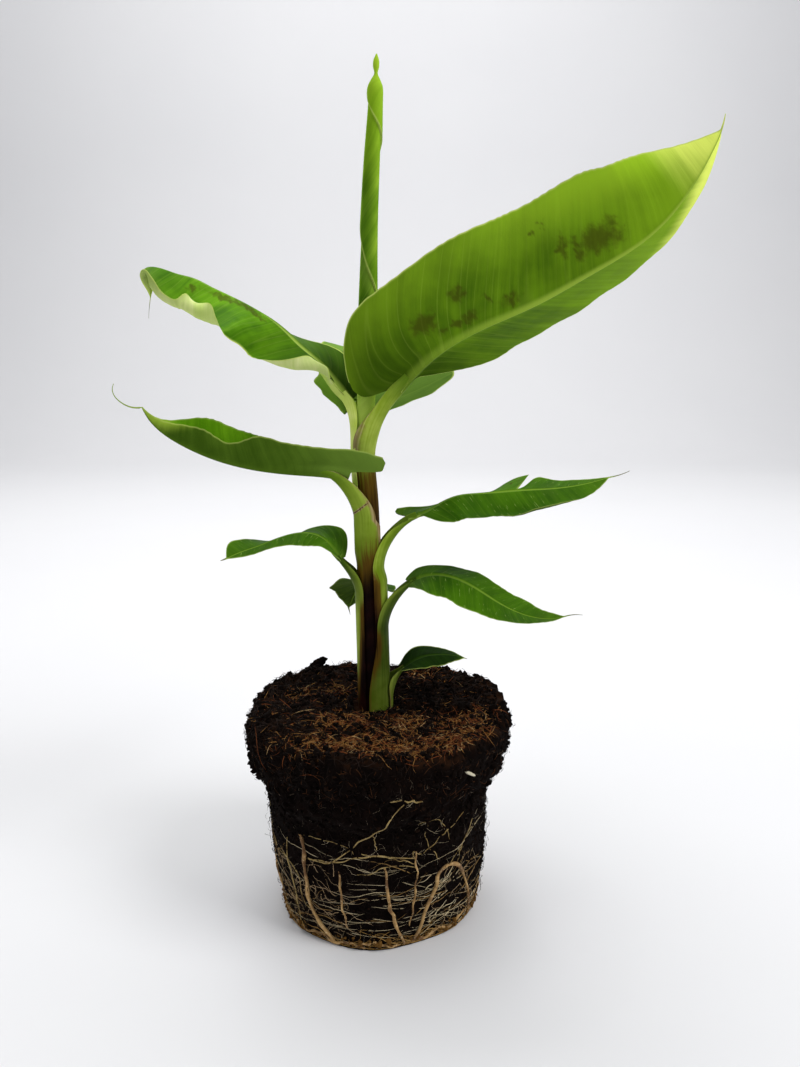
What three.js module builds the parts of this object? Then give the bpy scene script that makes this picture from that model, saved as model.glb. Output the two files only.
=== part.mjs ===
import * as THREE from "three";

// Young banana plant lifted out of its nursery pot, standing on its bare root ball.
// Millimetres, +Z up. The origin is the centre of the ball's flat underside,
// +X runs to the viewer's right and +Y away from the viewer.

// Root ball: the cast of a nursery pot with a wider collar at its top
const BALL_HEIGHT = 131;
const BALL_FOOT_RADIUS = 65;
const BALL_NECK_RADIUS = 72.5;
const COLLAR_BOTTOM = 84;
const COLLAR_RISE = 20;
const COLLAR_STEP = 12.5;
const COLLAR_WANDER = 5;
const COLLAR_WAVES = 2;
const COLLAR_PHASE = 2.4;
const BALL_WAVES = [
  { height: 1.1, waves: 3, slant: 0.04, phase: 1.3 },
  { height: 0.77, waves: 7, slant: -0.09, phase: 0.4 },
];
const SOIL_BUMP = 2.2;
const SOIL_WAVES = 5;
const SOIL_SLANT = 0.13;
const SOIL_CROSS_WAVES = 2;
const SOIL_CROSS_SLANT = -0.11;
const SOIL_PAD_RADIUS = 22;
const SOIL_RIM_ROUND = 4;
const BALL_SIDES = 36;
const BALL_LEVELS = [0, 5, 30, 58, 82, 89, 96, 104, 115, 125];
const SOIL_RINGS = [0.82, 0.55];
const LUMPS = [
  { azimuth: 127, reach: 73, height: 9, size: 13 },
  { azimuth: 22, reach: 76, height: 6, size: 16 },
];

// Thick roots that cling to the ball's side
const ROOT_SIDES = 6;
const ROOT_STEPS = 8;
const ROOT_CLEAR = 0.5;
const ROOT_TAPER = 0.45;
const ROOT_SWAYS = 1.15;
const THICK_ROOTS = [
  { from: -131, to: -117, high: 70, low: 6, arch: 0, sway: 2, radius: 1.8 },
  { from: -109, to: -103, high: 54, low: 12, arch: 0, sway: 1.2, radius: 1.4 },
  { from: -86, to: -77, high: 58, low: 6, arch: 0, sway: 1.5, radius: 1.7 },
  { from: -71, to: -72, high: 66, low: 17, arch: 0, sway: 1, radius: 1.2 },
  { from: -65, to: -34, high: 6, low: 5, arch: 46, sway: 1, radius: 1.6 },
  { from: 10, to: 24, high: 68, low: 7, arch: 0, sway: 2, radius: 1.7 },
  { from: 62, to: 49, high: 60, low: 9, arch: 0, sway: 2.5, radius: 1.5 },
  { from: 86, to: 118, high: 7, low: 8, arch: 40, sway: 1, radius: 1.6 },
  { from: 150, to: 138, high: 72, low: 10, arch: 0, sway: 2, radius: 1.7 },
  { from: 186, to: 196, high: 62, low: 6, arch: 0, sway: 1.5, radius: 1.5 },
];

// False stem: a core with the rolled leaf bases laid round it
const STEM_LEAN = [-3.4, -5.4, -6.2, -4.1, 0.8];
const PLANT_TOP = 521;
const CORE_FOOT_RADIUS = 6.8;
const CORE_SHOULDER = 236;
const CORE_SHOULDER_RADIUS = 6.3;
const CORE_NECK_RADIUS = 5.7;
const CORE_TOP = 317;
const CORE_TOP_RADIUS = 5;
const CORE_SIDES = 16;
const CORE_RINGS = 3;
const SHEATH_WALL = 1.25;
const SHEATH_EDGE = 0.3;
const SHEATH_THINNING = 0.75;
const SHEATH_WIDEN = 1.2;
const SHEATH_WIDEN_RUN = 12;
const SHEATH_POINTS = 9;
const STEM_RINGS = 5;
const PETIOLE_RINGS = 7;
const PETIOLE_WALL = 0.78;
const PETIOLE_SPREAD = 96;
const PARTING_SPREAD = 80;

// Rolled young leaf that stands up from the crown
const SPEAR_RADII = [5.9, 6.3, 6, 5.6, 5.4, 5];
const SPEAR_TIP_RADII = [5, 3.6, 1.4, 1.9, 1.7, 0.6];
const SPEAR_TIP_START = 0.9;
const SPEAR_RINGS = 26;
const SPEAR_TIP_RINGS = 6;
const SPEAR_POINTS = 12;
const SPEAR_LIP = 0.8;
const SPEAR_LIP_SHARE = 0.3;
const SPEAR_EDGE_TURNS = [720, 720, 720, 612, 510, 400, 190];

// Leaf blades
const BLADE_THICKNESS = 0.0106;
const THINNEST_BLADE = 1.1;
const BLADE_ROWS = 16;
const STEPS_PER_ROW = 4;
const TAIL_ROWS = 3;
const WIDE_COLUMNS = [1, 0.7, 0.35, 0];
const NARROW_COLUMNS = [1, 0.5, 0];
const WIDE_LEAF = 130;
const THINNEST_LAMINA = 0.35;
const TIP_RIB = 0.4;
const RIB_CLEAR = 0.4;
const RIB_DEPTH = 0.62;
const RIB_TAPER = 0.8;
const RIM_LEAN = 0.15;
const RIM_LEAN_POWER = 1.5;
const FULL_TILT_WIDTH = 5;
const LOBE_REACH = 0.34;
const TAPER_START = 0.42;

// Clearance between neighbours
const GAP = 0.3;

const SOIL = { color: "#2a1c14", roughness: 1 };
const ROOT = { color: "#b58f63", roughness: 0.8 };
const CORE = { color: "#4a2622", roughness: 0.55 };
const SPEAR = { color: "#7fae34", roughness: 0.45 };
const SHEATH = { color: "#7d9a45", roughness: 0.5 };
const BLADE_ROUGHNESS = 0.45;

// A half blade: its width, the angle at which it stands from the leaf's own plane, and how far
// it bends on from there. The shape says how wide it is at its foot, where its shoulder ends and
// how it grows to it, how far its lobe runs back, and how bluntly its tip closes.
const half = (width, fold, curl, shape) => ({
  width,
  fold,
  curl,
  start: 0,
  foot: 0.42,
  shoulder: 0.34,
  rise: 2,
  lobe: 0.12,
  tip: 2.3,
  ...shape,
});
const NARROW_FOOT = { foot: 0.05, lobe: 0 };
const FLAT = [0, 0];

// Each leaf grows from its base by headings, pitches and rolls (degrees) spread along its length.
// Left and right are the sides of someone who looks from the leaf's base towards its tip.
// Its sheath lies in a layer round the core, on one side, and parts from the stem at a height.
const LEAVES = [
  {
    name: "big_right",
    base: [12.8, -14, 335.8],
    length: 222,
    heading: [-16, -16, -18, -19, -22],
    pitch: [52, 24, 26, 40, 64],
    roll: [52, 50, 46, 42, 40],
    left: half(43, [30, 35, 38], FLAT, { foot: 0, shoulder: 0.33, rise: 1.5, lobe: 0, tip: 2.6 }),
    right: half(46, [32, 35, 35], [5, 0, 0], { foot: 0.6, shoulder: 0.22, lobe: 0.38, tip: 2.8 }),
    tail: { length: 8, heading: -20, pitch: 68 },
    sheath: { layer: 0, side: -36, start: CORE_SHOULDER, parts: 294, spread: 68 },
    petiole: { radius: 4.4, rise: 16, reach: 18 },
    colour: "#6f9a2e",
  },
  {
    name: "left_upper",
    base: [-19.5, 2, 332.8],
    length: 146,
    heading: [186, 187, 186, 187, 190],
    pitch: [52, 50, 44, 36, 30, 27, 24, 16, -75],
    roll: [0, 10, 25, 25, 10],
    left: half(25, [-10, -30, -28], [-40, -30, -30], {
      start: 0.1,
      foot: 0,
      shoulder: 0.42,
      rise: 1.2,
      lobe: 0,
      tip: 3.4,
    }),
    right: half(30, [35, -10, -35, -35], [0, -20, -30], { foot: 0.4, lobe: 0 }),
    tail: { length: 12, heading: 200, pitch: -78 },
    sheath: { layer: 0, side: 175, start: 274, parts: 300, spread: 58 },
    petiole: { radius: 3.2, rise: 14, reach: 12 },
    colour: "#4d7a28",
  },
  {
    name: "left_middle",
    base: [-22.1, -14, 283.2],
    length: 130,
    heading: [196, 193, 192, 191, 195],
    pitch: [11, 9, 14, 26, 52],
    roll: FLAT,
    left: half(24.5, [50, 52, 54, 50, 30], [62, 160, 150, 110, 30], { foot: 0.55, lobe: 0.8 }),
    right: half(24, [55, 60, 60, 40], [150, 130, 70, 20], { foot: 0.5, lobe: 0 }),
    tail: { length: 14, heading: 200, pitch: 46 },
    sheath: { layer: 0, side: 205, start: BALL_HEIGHT, parts: 248, spread: 120 },
    petiole: { radius: 3.4, rise: 18, reach: 7 },
    colour: "#4f7328",
  },
  {
    name: "right_middle",
    base: [20.2, 0, 255.2],
    length: 128,
    heading: [-7, -5, -4, -5, -4],
    pitch: [34, 17, 1, 2, 28],
    roll: [-40, -40, -40, -35, -30],
    left: half(20, [-45, -55, -30, -10], FLAT, {}),
    right: half(22, [10, 0, 0], FLAT, { foot: 0.1, lobe: 0 }),
    tail: { length: 13, heading: -4, pitch: 16 },
    sheath: { layer: 1, side: 0, start: BALL_HEIGHT, parts: 224, spread: 74 },
    petiole: { radius: 2.8, rise: 13, reach: 9 },
    colour: "#4b7427",
  },
  {
    name: "left_low",
    base: [-21, -4, 229.3],
    length: 80,
    heading: [192, 192, 196, 194, 194],
    pitch: [50, 34, -8, -21, -14],
    roll: [10, 10],
    left: half(13, [-5, -8, -10], FLAT, { foot: 0, rise: 1.3, lobe: 0 }),
    right: half(17, [30, 5, -20, -5, 20], FLAT, { foot: 0.7 }),
    tail: { length: 4, heading: 194, pitch: -20 },
    sheath: { layer: 1, side: 187, start: BALL_HEIGHT, parts: 206, spread: 74 },
    petiole: { radius: 2.7, rise: 10, reach: 8 },
    colour: "#4a7526",
  },
  {
    name: "right_low",
    base: [17.1, -4, 214.4],
    length: 107,
    heading: [-12, -16, -18, -15, -12],
    pitch: [26, -9, -24, -15, 12],
    roll: [-20, -20],
    left: half(19, [0, -7, -8], FLAT, {}),
    right: half(17.5, [10, 10], FLAT, { foot: 0.2, lobe: 0 }),
    tail: { length: 11, heading: -10, pitch: 3 },
    sheath: { layer: 2, side: -12, start: BALL_HEIGHT, parts: 184, spread: 60 },
    petiole: { radius: 2.7, rise: 13, reach: 8 },
    colour: "#487325",
  },
  {
    name: "back_low",
    base: [-6, 27, 206],
    length: 52,
    heading: [106, 118, 125],
    pitch: [5, -40, -62],
    roll: FLAT,
    left: half(20, [10, 0, -10], FLAT, { foot: 0.6 }),
    right: half(21, [10, 0, -10], FLAT, { foot: 0.6 }),
    tail: { length: 5, heading: 125, pitch: -66 },
    sheath: { layer: 2, side: 100, start: BALL_HEIGHT, parts: 178, spread: 36 },
    petiole: { radius: 2.5, rise: 16, reach: 9 },
    colour: "#446f24",
  },
  {
    name: "back_upper",
    base: [-4, 12, 314.5],
    length: 158,
    heading: [82, 82, 80, 78, 76],
    pitch: [60, 48, 12, 3, 0, -4, -8, -14, -20],
    roll: FLAT,
    left: half(41, [8, 12, 10], [10, 0, 0], { ...NARROW_FOOT, shoulder: 0.2, rise: 1.1 }),
    right: half(45, [0, 8, 10], FLAT, { ...NARROW_FOOT, shoulder: 0.2, rise: 1.1 }),
    tail: { length: 10, heading: 76, pitch: -24 },
    sheath: { layer: 0, side: 74, start: CORE_SHOULDER, parts: 287, spread: 34 },
    petiole: { radius: 3, rise: 10, reach: 8 },
    colour: "#43702a",
  },
  {
    name: "lowest",
    base: [13.4, 0, 156.6],
    length: 45,
    heading: [7, 8, 6, 7, 8],
    pitch: [36, 29, 7, -14, -23],
    roll: [-15, -15],
    left: half(9.5, [0, -8, -8], FLAT, {}),
    right: half(9.5, [0, -5, -5], FLAT, {}),
    tail: { length: 2, heading: 8, pitch: -24 },
    sheath: { layer: 3, side: 5, start: BALL_HEIGHT, parts: 136, spread: 34 },
    petiole: { radius: 2.1, rise: 9, reach: 3 },
    colour: "#35601f",
  },
];

const { lerp, degToRad, clamp, smoothstep } = THREE.MathUtils;

// A smooth curve through evenly spaced values, read at t from 0 to 1
function along(values, t) {
  const last = values.length - 1;
  const x = clamp(t, 0, 1) * last;
  const i = Math.min(Math.floor(x), last - 1);
  const f = x - i;
  const a = values[Math.max(i - 1, 0)];
  const b = values[i];
  const c = values[i + 1];
  const d = values[Math.min(i + 2, last)];
  const bend = 2 * a - 5 * b + 4 * c - d;
  const twist = 3 * b - a - 3 * c + d;
  return 0.5 * (2 * b + (c - a) * f + bend * f * f + twist * f ** 3);
}

function direction(azimuth) {
  const turn = degToRad(azimuth);
  return new THREE.Vector3(Math.cos(turn), Math.sin(turn), 0);
}

function combine(origin, ...steps) {
  const point = origin.clone();
  for (const [axis, amount] of steps) point.addScaledVector(axis, amount);
  return point;
}

// A closed solid through rings of equal size. Each end is closed by strips from a ring's
// first half to its second half, so a thin crescent closes as cleanly as a circle.
function loft(rings) {
  const size = rings[0].length;
  const positions = rings.flat().flatMap((p) => [p.x, p.y, p.z]);
  const index = [];
  const quad = (a, b, c, d) => index.push(a, b, c, a, c, d);
  for (let r = 0; r + 1 < rings.length; r++) {
    for (let k = 0; k < size; k++) {
      const next = (k + 1) % size;
      quad(r * size + k, r * size + next, (r + 1) * size + next, (r + 1) * size + k);
    }
  }
  const end = (rings.length - 1) * size;
  for (let k = 0; k < size / 2 - 1; k++) {
    const far = size - 1 - k;
    quad(far, far - 1, k + 1, k);
    quad(end + k, end + k + 1, end + far - 1, end + far);
  }
  if (signedVolume(positions, index) < 0) index.reverse();
  const geometry = new THREE.BufferGeometry();
  geometry.setAttribute("position", new THREE.Float32BufferAttribute(positions, 3));
  geometry.setIndex(index);
  geometry.computeVertexNormals();
  return geometry;
}

function signedVolume(positions, index) {
  const corner = (i) => new THREE.Vector3().fromArray(positions, 3 * i);
  let sum = 0;
  for (let i = 0; i < index.length; i += 3) {
    const [a, b, c] = [corner(index[i]), corner(index[i + 1]), corner(index[i + 2])];
    sum += a.dot(b.cross(c)) / 6;
  }
  return sum;
}

// Root ball

function ballRadius(height, azimuth) {
  const turn = degToRad(azimuth);
  const body = lerp(BALL_FOOT_RADIUS, BALL_NECK_RADIUS, Math.min(height / COLLAR_BOTTOM, 1));
  const foot = COLLAR_BOTTOM + COLLAR_WANDER * Math.sin(COLLAR_WAVES * turn + COLLAR_PHASE);
  let radius = body + COLLAR_STEP * smoothstep(height, foot, foot + COLLAR_RISE);
  for (const wave of BALL_WAVES) {
    radius += wave.height * Math.sin(wave.waves * turn + wave.slant * height + wave.phase);
  }
  return radius;
}

function soilHeight(reach, azimuth) {
  const turn = degToRad(azimuth);
  const wave = Math.sin(SOIL_WAVES * turn + SOIL_SLANT * reach);
  const cross = Math.cos(SOIL_CROSS_WAVES * turn + SOIL_CROSS_SLANT * reach);
  const fade = smoothstep(reach, SOIL_PAD_RADIUS, 2 * SOIL_PAD_RADIUS);
  let height = BALL_HEIGHT + SOIL_BUMP * wave * cross * fade;
  for (const lump of LUMPS) {
    const centre = direction(lump.azimuth).multiplyScalar(lump.reach);
    const distance = direction(azimuth).multiplyScalar(reach).distanceTo(centre);
    height += lump.height * Math.exp(-((distance / lump.size) ** 2));
  }
  return height;
}

function ballRing(radiusAt, heightAt) {
  return Array.from({ length: BALL_SIDES }, (_, k) => {
    const azimuth = (360 * k) / BALL_SIDES;
    const reach = radiusAt(azimuth);
    return direction(azimuth).multiplyScalar(reach).setZ(heightAt(reach, azimuth));
  });
}

function rootBallGeometry() {
  const sides = BALL_LEVELS.map((z) => ballRing((azimuth) => ballRadius(z, azimuth), () => z));
  const rim = (azimuth) => ballRadius(BALL_HEIGHT, azimuth) - SOIL_RIM_ROUND;
  const top = [1, ...SOIL_RINGS].map((share) => ballRing((azimuth) => share * rim(azimuth), soilHeight));
  const pad = ballRing(() => SOIL_PAD_RADIUS, () => BALL_HEIGHT);
  return loft([...sides, ...top, pad]);
}

function rootGeometry(root) {
  const rings = [];
  for (let i = 0; i <= ROOT_STEPS; i++) {
    const t = i / ROOT_STEPS;
    const sway = root.sway * Math.sin(2 * Math.PI * ROOT_SWAYS * t + root.from);
    const height = lerp(root.high, root.low, t) + root.arch * Math.sin(Math.PI * t);
    const azimuth = lerp(root.from, root.to, t) + sway;
    const radius = root.radius * (1 - ROOT_TAPER * t);
    const out = direction(azimuth);
    const centre = out.clone().multiplyScalar(ballRadius(height, azimuth) + radius + ROOT_CLEAR).setZ(height);
    rings.push({ centre, out, radius });
  }
  return loft(
    rings.map(({ centre, out, radius }, i) => {
      const before = rings[Math.max(i - 1, 0)].centre;
      const after = rings[Math.min(i + 1, ROOT_STEPS)].centre;
      const ahead = after.clone().sub(before).normalize();
      const side = new THREE.Vector3().crossVectors(ahead, out).normalize();
      const proud = new THREE.Vector3().crossVectors(side, ahead);
      return Array.from({ length: ROOT_SIDES }, (_, k) => {
        const turn = (2 * Math.PI * k) / ROOT_SIDES;
        return combine(centre, [side, radius * Math.cos(turn)], [proud, radius * Math.sin(turn)]);
      });
    }),
  );
}

// False stem

function stemAxis(height) {
  const t = (height - BALL_HEIGHT) / (PLANT_TOP - BALL_HEIGHT);
  return new THREE.Vector3(along(STEM_LEAN, t), 0, height);
}

function coreRadius(height) {
  if (height <= CORE_SHOULDER) {
    const t = (height - BALL_HEIGHT) / (CORE_SHOULDER - BALL_HEIGHT);
    return lerp(CORE_FOOT_RADIUS, CORE_SHOULDER_RADIUS, t);
  }
  const t = (height - CORE_SHOULDER) / (CORE_TOP - CORE_SHOULDER);
  return lerp(CORE_NECK_RADIUS, CORE_TOP_RADIUS, t);
}

function coreGeometry() {
  const levels = [];
  for (let i = 0; i <= CORE_RINGS; i++) {
    levels.push(lerp(BALL_HEIGHT + GAP, CORE_SHOULDER, i / CORE_RINGS));
  }
  for (let i = 0; i <= CORE_RINGS; i++) {
    levels.push(lerp(CORE_SHOULDER + GAP, CORE_TOP, i / CORE_RINGS));
  }
  return loft(
    levels.map((height) =>
      Array.from({ length: CORE_SIDES }, (_, k) => {
        const out = direction((360 * k) / CORE_SIDES);
        return combine(stemAxis(height), [out, coreRadius(height)]);
      }),
    ),
  );
}

// The roll's free edge winds round the spear as a small step in its section
function spearRing(t, radius) {
  const axis = stemAxis(lerp(CORE_TOP + GAP, PLANT_TOP, t));
  const edge = along(SPEAR_EDGE_TURNS, t / SPEAR_TIP_START);
  const lip = Math.min(SPEAR_LIP, SPEAR_LIP_SHARE * radius);
  return Array.from({ length: SPEAR_POINTS }, (_, k) => {
    const share = k / (SPEAR_POINTS - 1);
    return combine(axis, [direction(edge + 360 * share), radius - lip * share]);
  });
}

function spearGeometry() {
  const rings = [];
  for (let i = 0; i < SPEAR_RINGS; i++) {
    const t = i / SPEAR_RINGS;
    rings.push(spearRing(t * SPEAR_TIP_START, along(SPEAR_RADII, t)));
  }
  for (let i = 0; i <= SPEAR_TIP_RINGS; i++) {
    const t = i / SPEAR_TIP_RINGS;
    rings.push(spearRing(lerp(SPEAR_TIP_START, 1, t), along(SPEAR_TIP_RADII, t)));
  }
  return loft(rings);
}

// Section of a leaf base: a crescent whose back follows the ridge line
function crescent({ ridge, ahead, azimuth, roll, radius, wall, spread }) {
  const flat = direction(azimuth + 90);
  const across = combine(flat, [ahead, -flat.dot(ahead)]).normalize();
  const away = new THREE.Vector3().crossVectors(across, ahead);
  const turn = degToRad(roll);
  const out = combine(new THREE.Vector3(), [away, Math.cos(turn)], [across, -Math.sin(turn)]);
  const side = combine(new THREE.Vector3(), [across, Math.cos(turn)], [away, Math.sin(turn)]);
  const centre = combine(ridge, [out, -radius]);
  const outer = [];
  const inner = [];
  for (let k = 0; k < SHEATH_POINTS; k++) {
    const share = (2 * k) / (SHEATH_POINTS - 1) - 1;
    const angle = degToRad(spread * share);
    const hollow = radius - Math.max(SHEATH_EDGE, wall * (1 - SHEATH_THINNING * share * share));
    outer.push(combine(centre, [out, radius * Math.cos(angle)], [side, radius * Math.sin(angle)]));
    inner.unshift(combine(centre, [out, hollow * Math.cos(angle)], [side, hollow * Math.sin(angle)]));
  }
  return [...outer, ...inner];
}

// Outer radius of a leaf base on the stem. A base that starts at the ground ends outside the
// layer that starts at the core's shoulder, so it widens just below that shoulder.
function sheathRadius(sheath, height) {
  const wrap = GAP + SHEATH_WALL;
  const fromGround = sheath.start === BALL_HEIGHT;
  const core = coreRadius(fromGround ? Math.min(height, CORE_SHOULDER) : height);
  const step = smoothstep(height, CORE_SHOULDER - SHEATH_WIDEN_RUN, CORE_SHOULDER - GAP);
  const widen = fromGround ? SHEATH_WIDEN * step : 0;
  return core + wrap * (1 + sheath.layer) + widen;
}

// A leaf base wraps the stem up to where it parts, then bends out as the leaf's stalk
function sheathGeometry(leaf) {
  const { sheath, petiole } = leaf;
  const up = new THREE.Vector3(0, 0, 1);
  const ridgeAt = (height) =>
    combine(stemAxis(height), [direction(sheath.side), sheathRadius(sheath, height)]);
  const partSpread = Math.min(sheath.spread, PARTING_SPREAD);
  const rings = [];
  for (let i = 0; i <= STEM_RINGS; i++) {
    const t = i / STEM_RINGS;
    const height = lerp(sheath.start + GAP, sheath.parts, t);
    rings.push(
      crescent({
        ridge: ridgeAt(height),
        ahead: up,
        azimuth: sheath.side,
        roll: 0,
        radius: sheathRadius(sheath, height),
        wall: SHEATH_WALL,
        spread: lerp(sheath.spread, partSpread, smoothstep(t, 0.5, 1)),
      }),
    );
  }
  const { ahead, above } = leafFrame(leaf, 0);
  const base = new THREE.Vector3(...leaf.base);
  const end = combine(base, [above, -petiole.radius], [ahead, -GAP]);
  const parting = ridgeAt(sheath.parts);
  const stalk = new THREE.CubicBezierCurve3(
    parting,
    combine(parting, [up, petiole.rise]),
    combine(end, [ahead, -petiole.reach]),
    end,
  );
  for (let i = 1; i <= PETIOLE_RINGS; i++) {
    const t = i / PETIOLE_RINGS;
    const ease = smoothstep(t, 0, 1);
    const turn = smoothstep(t, 0.5, 1);
    rings.push(
      crescent({
        ridge: stalk.getPoint(t),
        ahead: stalk.getTangent(t),
        azimuth: lerp(sheath.side, leaf.heading[0], turn),
        roll: leaf.roll[0] * turn,
        radius: lerp(sheathRadius(sheath, sheath.parts), petiole.radius, ease),
        wall: lerp(SHEATH_WALL, PETIOLE_WALL * petiole.radius, ease),
        spread: lerp(partSpread, PETIOLE_SPREAD, ease),
      }),
    );
  }
  return loft(rings);
}

// Leaf blades

// Axes of a leaf at t along it: ahead to the tip, above its upper face, and its left
function leafFrame(leaf, t) {
  return axesOf(along(leaf.heading, t), along(leaf.pitch, t), along(leaf.roll, t));
}

function axesOf(heading, pitch, roll) {
  const level = direction(heading);
  const rise = degToRad(pitch);
  const turn = degToRad(roll);
  const ahead = level.clone().multiplyScalar(Math.cos(rise)).setZ(Math.sin(rise));
  const upright = level.clone().multiplyScalar(-Math.sin(rise)).setZ(Math.cos(rise));
  const flat = direction(heading + 90);
  const zero = new THREE.Vector3();
  const above = combine(zero, [upright, Math.cos(turn)], [flat, Math.sin(turn)]);
  const left = combine(zero, [flat, Math.cos(turn)], [upright, -Math.sin(turn)]);
  return { ahead, above, left };
}

// Places and axes of the blade's rows, walked from its base to the end of its dry tail
function leafRows(leaf) {
  const rows = [];
  const point = new THREE.Vector3(...leaf.base);
  const steps = BLADE_ROWS * STEPS_PER_ROW;
  for (let i = 0; i <= steps; i++) {
    const t = i / steps;
    if (i % STEPS_PER_ROW === 0) rows.push({ t, point: point.clone(), ...leafFrame(leaf, t) });
    if (i < steps) point.addScaledVector(leafFrame(leaf, t + 0.5 / steps).ahead, leaf.length / steps);
  }
  const tip = axesOf(leaf.tail.heading, leaf.tail.pitch, along(leaf.roll, 1));
  for (let i = 1; i <= TAIL_ROWS; i++) {
    point.addScaledVector(tip.ahead, leaf.tail.length / TAIL_ROWS);
    rows.push({ t: 1, point: point.clone(), ...tip });
  }
  return rows;
}

// Share of a half blade's full width at t along the leaf
function outline(half, t) {
  const opened = clamp((t - half.start) / (half.shoulder - half.start), 0, 1);
  const grow = 1 - (1 - half.foot) * (1 - opened) ** half.rise;
  const fall = 1 - Math.max(0, (t - TAPER_START) / (1 - TAPER_START)) ** half.tip;
  return grow * fall;
}

// Way across and up to a share of an arc that starts at the fold angle and bends by the curl
function arc(fold, curl, share) {
  if (Math.abs(curl) < 1e-6) return [Math.cos(fold) * share, Math.sin(fold) * share];
  const end = fold + curl * share;
  return [(Math.sin(end) - Math.sin(fold)) / curl, (Math.cos(fold) - Math.cos(end)) / curl];
}

// Upper and under point of one half blade: share 0 is the rib's flank and share 1 the rim
function bladePoint(row, half, sign, share, rib, thick) {
  const lamina = Math.max(THINNEST_LAMINA, half.width * outline(half, row.t));
  const reach = rib + lamina;
  const part = (rib + lamina * share) / reach;
  const fold = degToRad(along(half.fold, row.t));
  const curl = degToRad(along(half.curl, row.t));
  const [across, up] = arc(fold, curl, part);
  const lobe = Math.max(0, 1 - row.t / LOBE_REACH) ** 2;
  const back = half.lobe * lobe * Math.sin((share * Math.PI) / 2) ** 2;
  const lean = RIM_LEAN * share ** RIM_LEAN_POWER * (1 - lobe) * (1 - row.t);
  const top = combine(
    row.point,
    [row.left, sign * reach * across],
    [row.above, reach * up],
    [row.ahead, half.width * (lean - back)],
  );
  const tilt = (fold + curl * part) * Math.min(1, lamina / (FULL_TILT_WIDTH * thick));
  const under = combine(top, [row.left, sign * thick * Math.sin(tilt)], [row.above, -thick * Math.cos(tilt)]);
  return { top, under };
}

function bladeGeometry(leaf) {
  const thick = Math.max(THINNEST_BLADE, BLADE_THICKNESS * leaf.length);
  const widestRib = leaf.petiole.radius + RIB_CLEAR;
  const shares = leaf.length < WIDE_LEAF ? NARROW_COLUMNS : WIDE_COLUMNS;
  return loft(
    leafRows(leaf).map((row) => {
      const rib = lerp(widestRib, TIP_RIB, row.t ** RIB_TAPER);
      const left = shares.map((share) => bladePoint(row, leaf.left, 1, share, rib, thick));
      const right = shares.map((share) => bladePoint(row, leaf.right, -1, share, rib, thick)).reverse();
      const keel = combine(row.point, [row.above, -thick - RIB_DEPTH * rib]);
      const columns = [...left, { top: row.point, under: keel }, ...right];
      return [...columns.map((c) => c.top), ...columns.map((c) => c.under).reverse()];
    }),
  );
}

// Assembly

const plant = new THREE.Group();

function add(name, geometry, finish) {
  const mesh = new THREE.Mesh(geometry, new THREE.MeshStandardMaterial(finish));
  mesh.name = name;
  plant.add(mesh);
}

add("root_ball", rootBallGeometry(), SOIL);
THICK_ROOTS.forEach((root, i) => add(`surface_root_${i + 1}`, rootGeometry(root), ROOT));
add("pseudostem", coreGeometry(), CORE);
add("spear_leaf", spearGeometry(), SPEAR);
for (const leaf of LEAVES) {
  add(`sheath_${leaf.name}`, sheathGeometry(leaf), SHEATH);
  add(`blade_${leaf.name}`, bladeGeometry(leaf), { color: leaf.colour, roughness: BLADE_ROUGHNESS });
}

export default plant;
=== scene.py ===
# %% [markdown]
# # A young banana plant on its bare root ball
# This lesson dresses a plain model of a young banana plant that was lifted out of its nursery pot.
# The plain solids say where every piece is and how large it is. Here each of them is made again as
# it looks: crumbling peat, a web of pale roots, a false stem of rolled leaf bases, and leaves with
# ribs, veins, rolled rims and dry tails. Lengths are written in millimetres, as a grower measures,
# and become Blender's metres where a mesh is laid out.

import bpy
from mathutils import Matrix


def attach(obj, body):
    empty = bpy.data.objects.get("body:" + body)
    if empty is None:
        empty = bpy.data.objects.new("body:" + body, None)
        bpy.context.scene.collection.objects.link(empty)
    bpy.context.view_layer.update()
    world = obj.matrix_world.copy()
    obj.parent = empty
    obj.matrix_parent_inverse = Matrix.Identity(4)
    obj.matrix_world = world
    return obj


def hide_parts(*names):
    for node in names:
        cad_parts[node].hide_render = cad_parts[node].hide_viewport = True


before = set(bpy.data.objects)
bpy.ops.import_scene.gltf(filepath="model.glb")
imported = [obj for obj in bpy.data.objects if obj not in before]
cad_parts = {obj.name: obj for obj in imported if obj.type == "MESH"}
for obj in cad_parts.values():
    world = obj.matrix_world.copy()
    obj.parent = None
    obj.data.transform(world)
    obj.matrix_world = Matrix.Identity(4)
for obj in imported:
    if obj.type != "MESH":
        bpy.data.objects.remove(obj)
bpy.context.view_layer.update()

# %% Tools used all through
import itertools
import math

import bpy
import numpy as np
from mathutils import Vector

MM = 0.001


def paint(code):
    """A colour written as in a paint program, turned into the linear light that shaders use."""
    parts = np.array([int(code[i : i + 2], 16) / 255 for i in (1, 3, 5)])
    linear = np.where(parts <= 0.04045, parts / 12.92, ((parts + 0.055) / 1.055) ** 2.4)
    return (*linear.tolist(), 1.0)


print("tools ready, one millimetre is", MM, "m")

# %% [markdown]
# ## Camera, floor and light
# The photograph was taken from just above the crown, close up, so the root ball is seen from above
# and the upper leaves nearly level. The camera repeats that place, tilt and angle of view. The floor
# is a sheet that rises behind the plant in a wide bend, as in a studio, so no horizon line cuts the
# leaves. Large lamps give soft shadows.

# %% Camera
CAMERA_PLACE = Vector((14, -534, 354)) * MM
CAMERA_TILT = 11.5
FOCAL_PIXELS = 870
PICTURE_HEIGHT = 1067
SENSOR = 36

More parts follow.
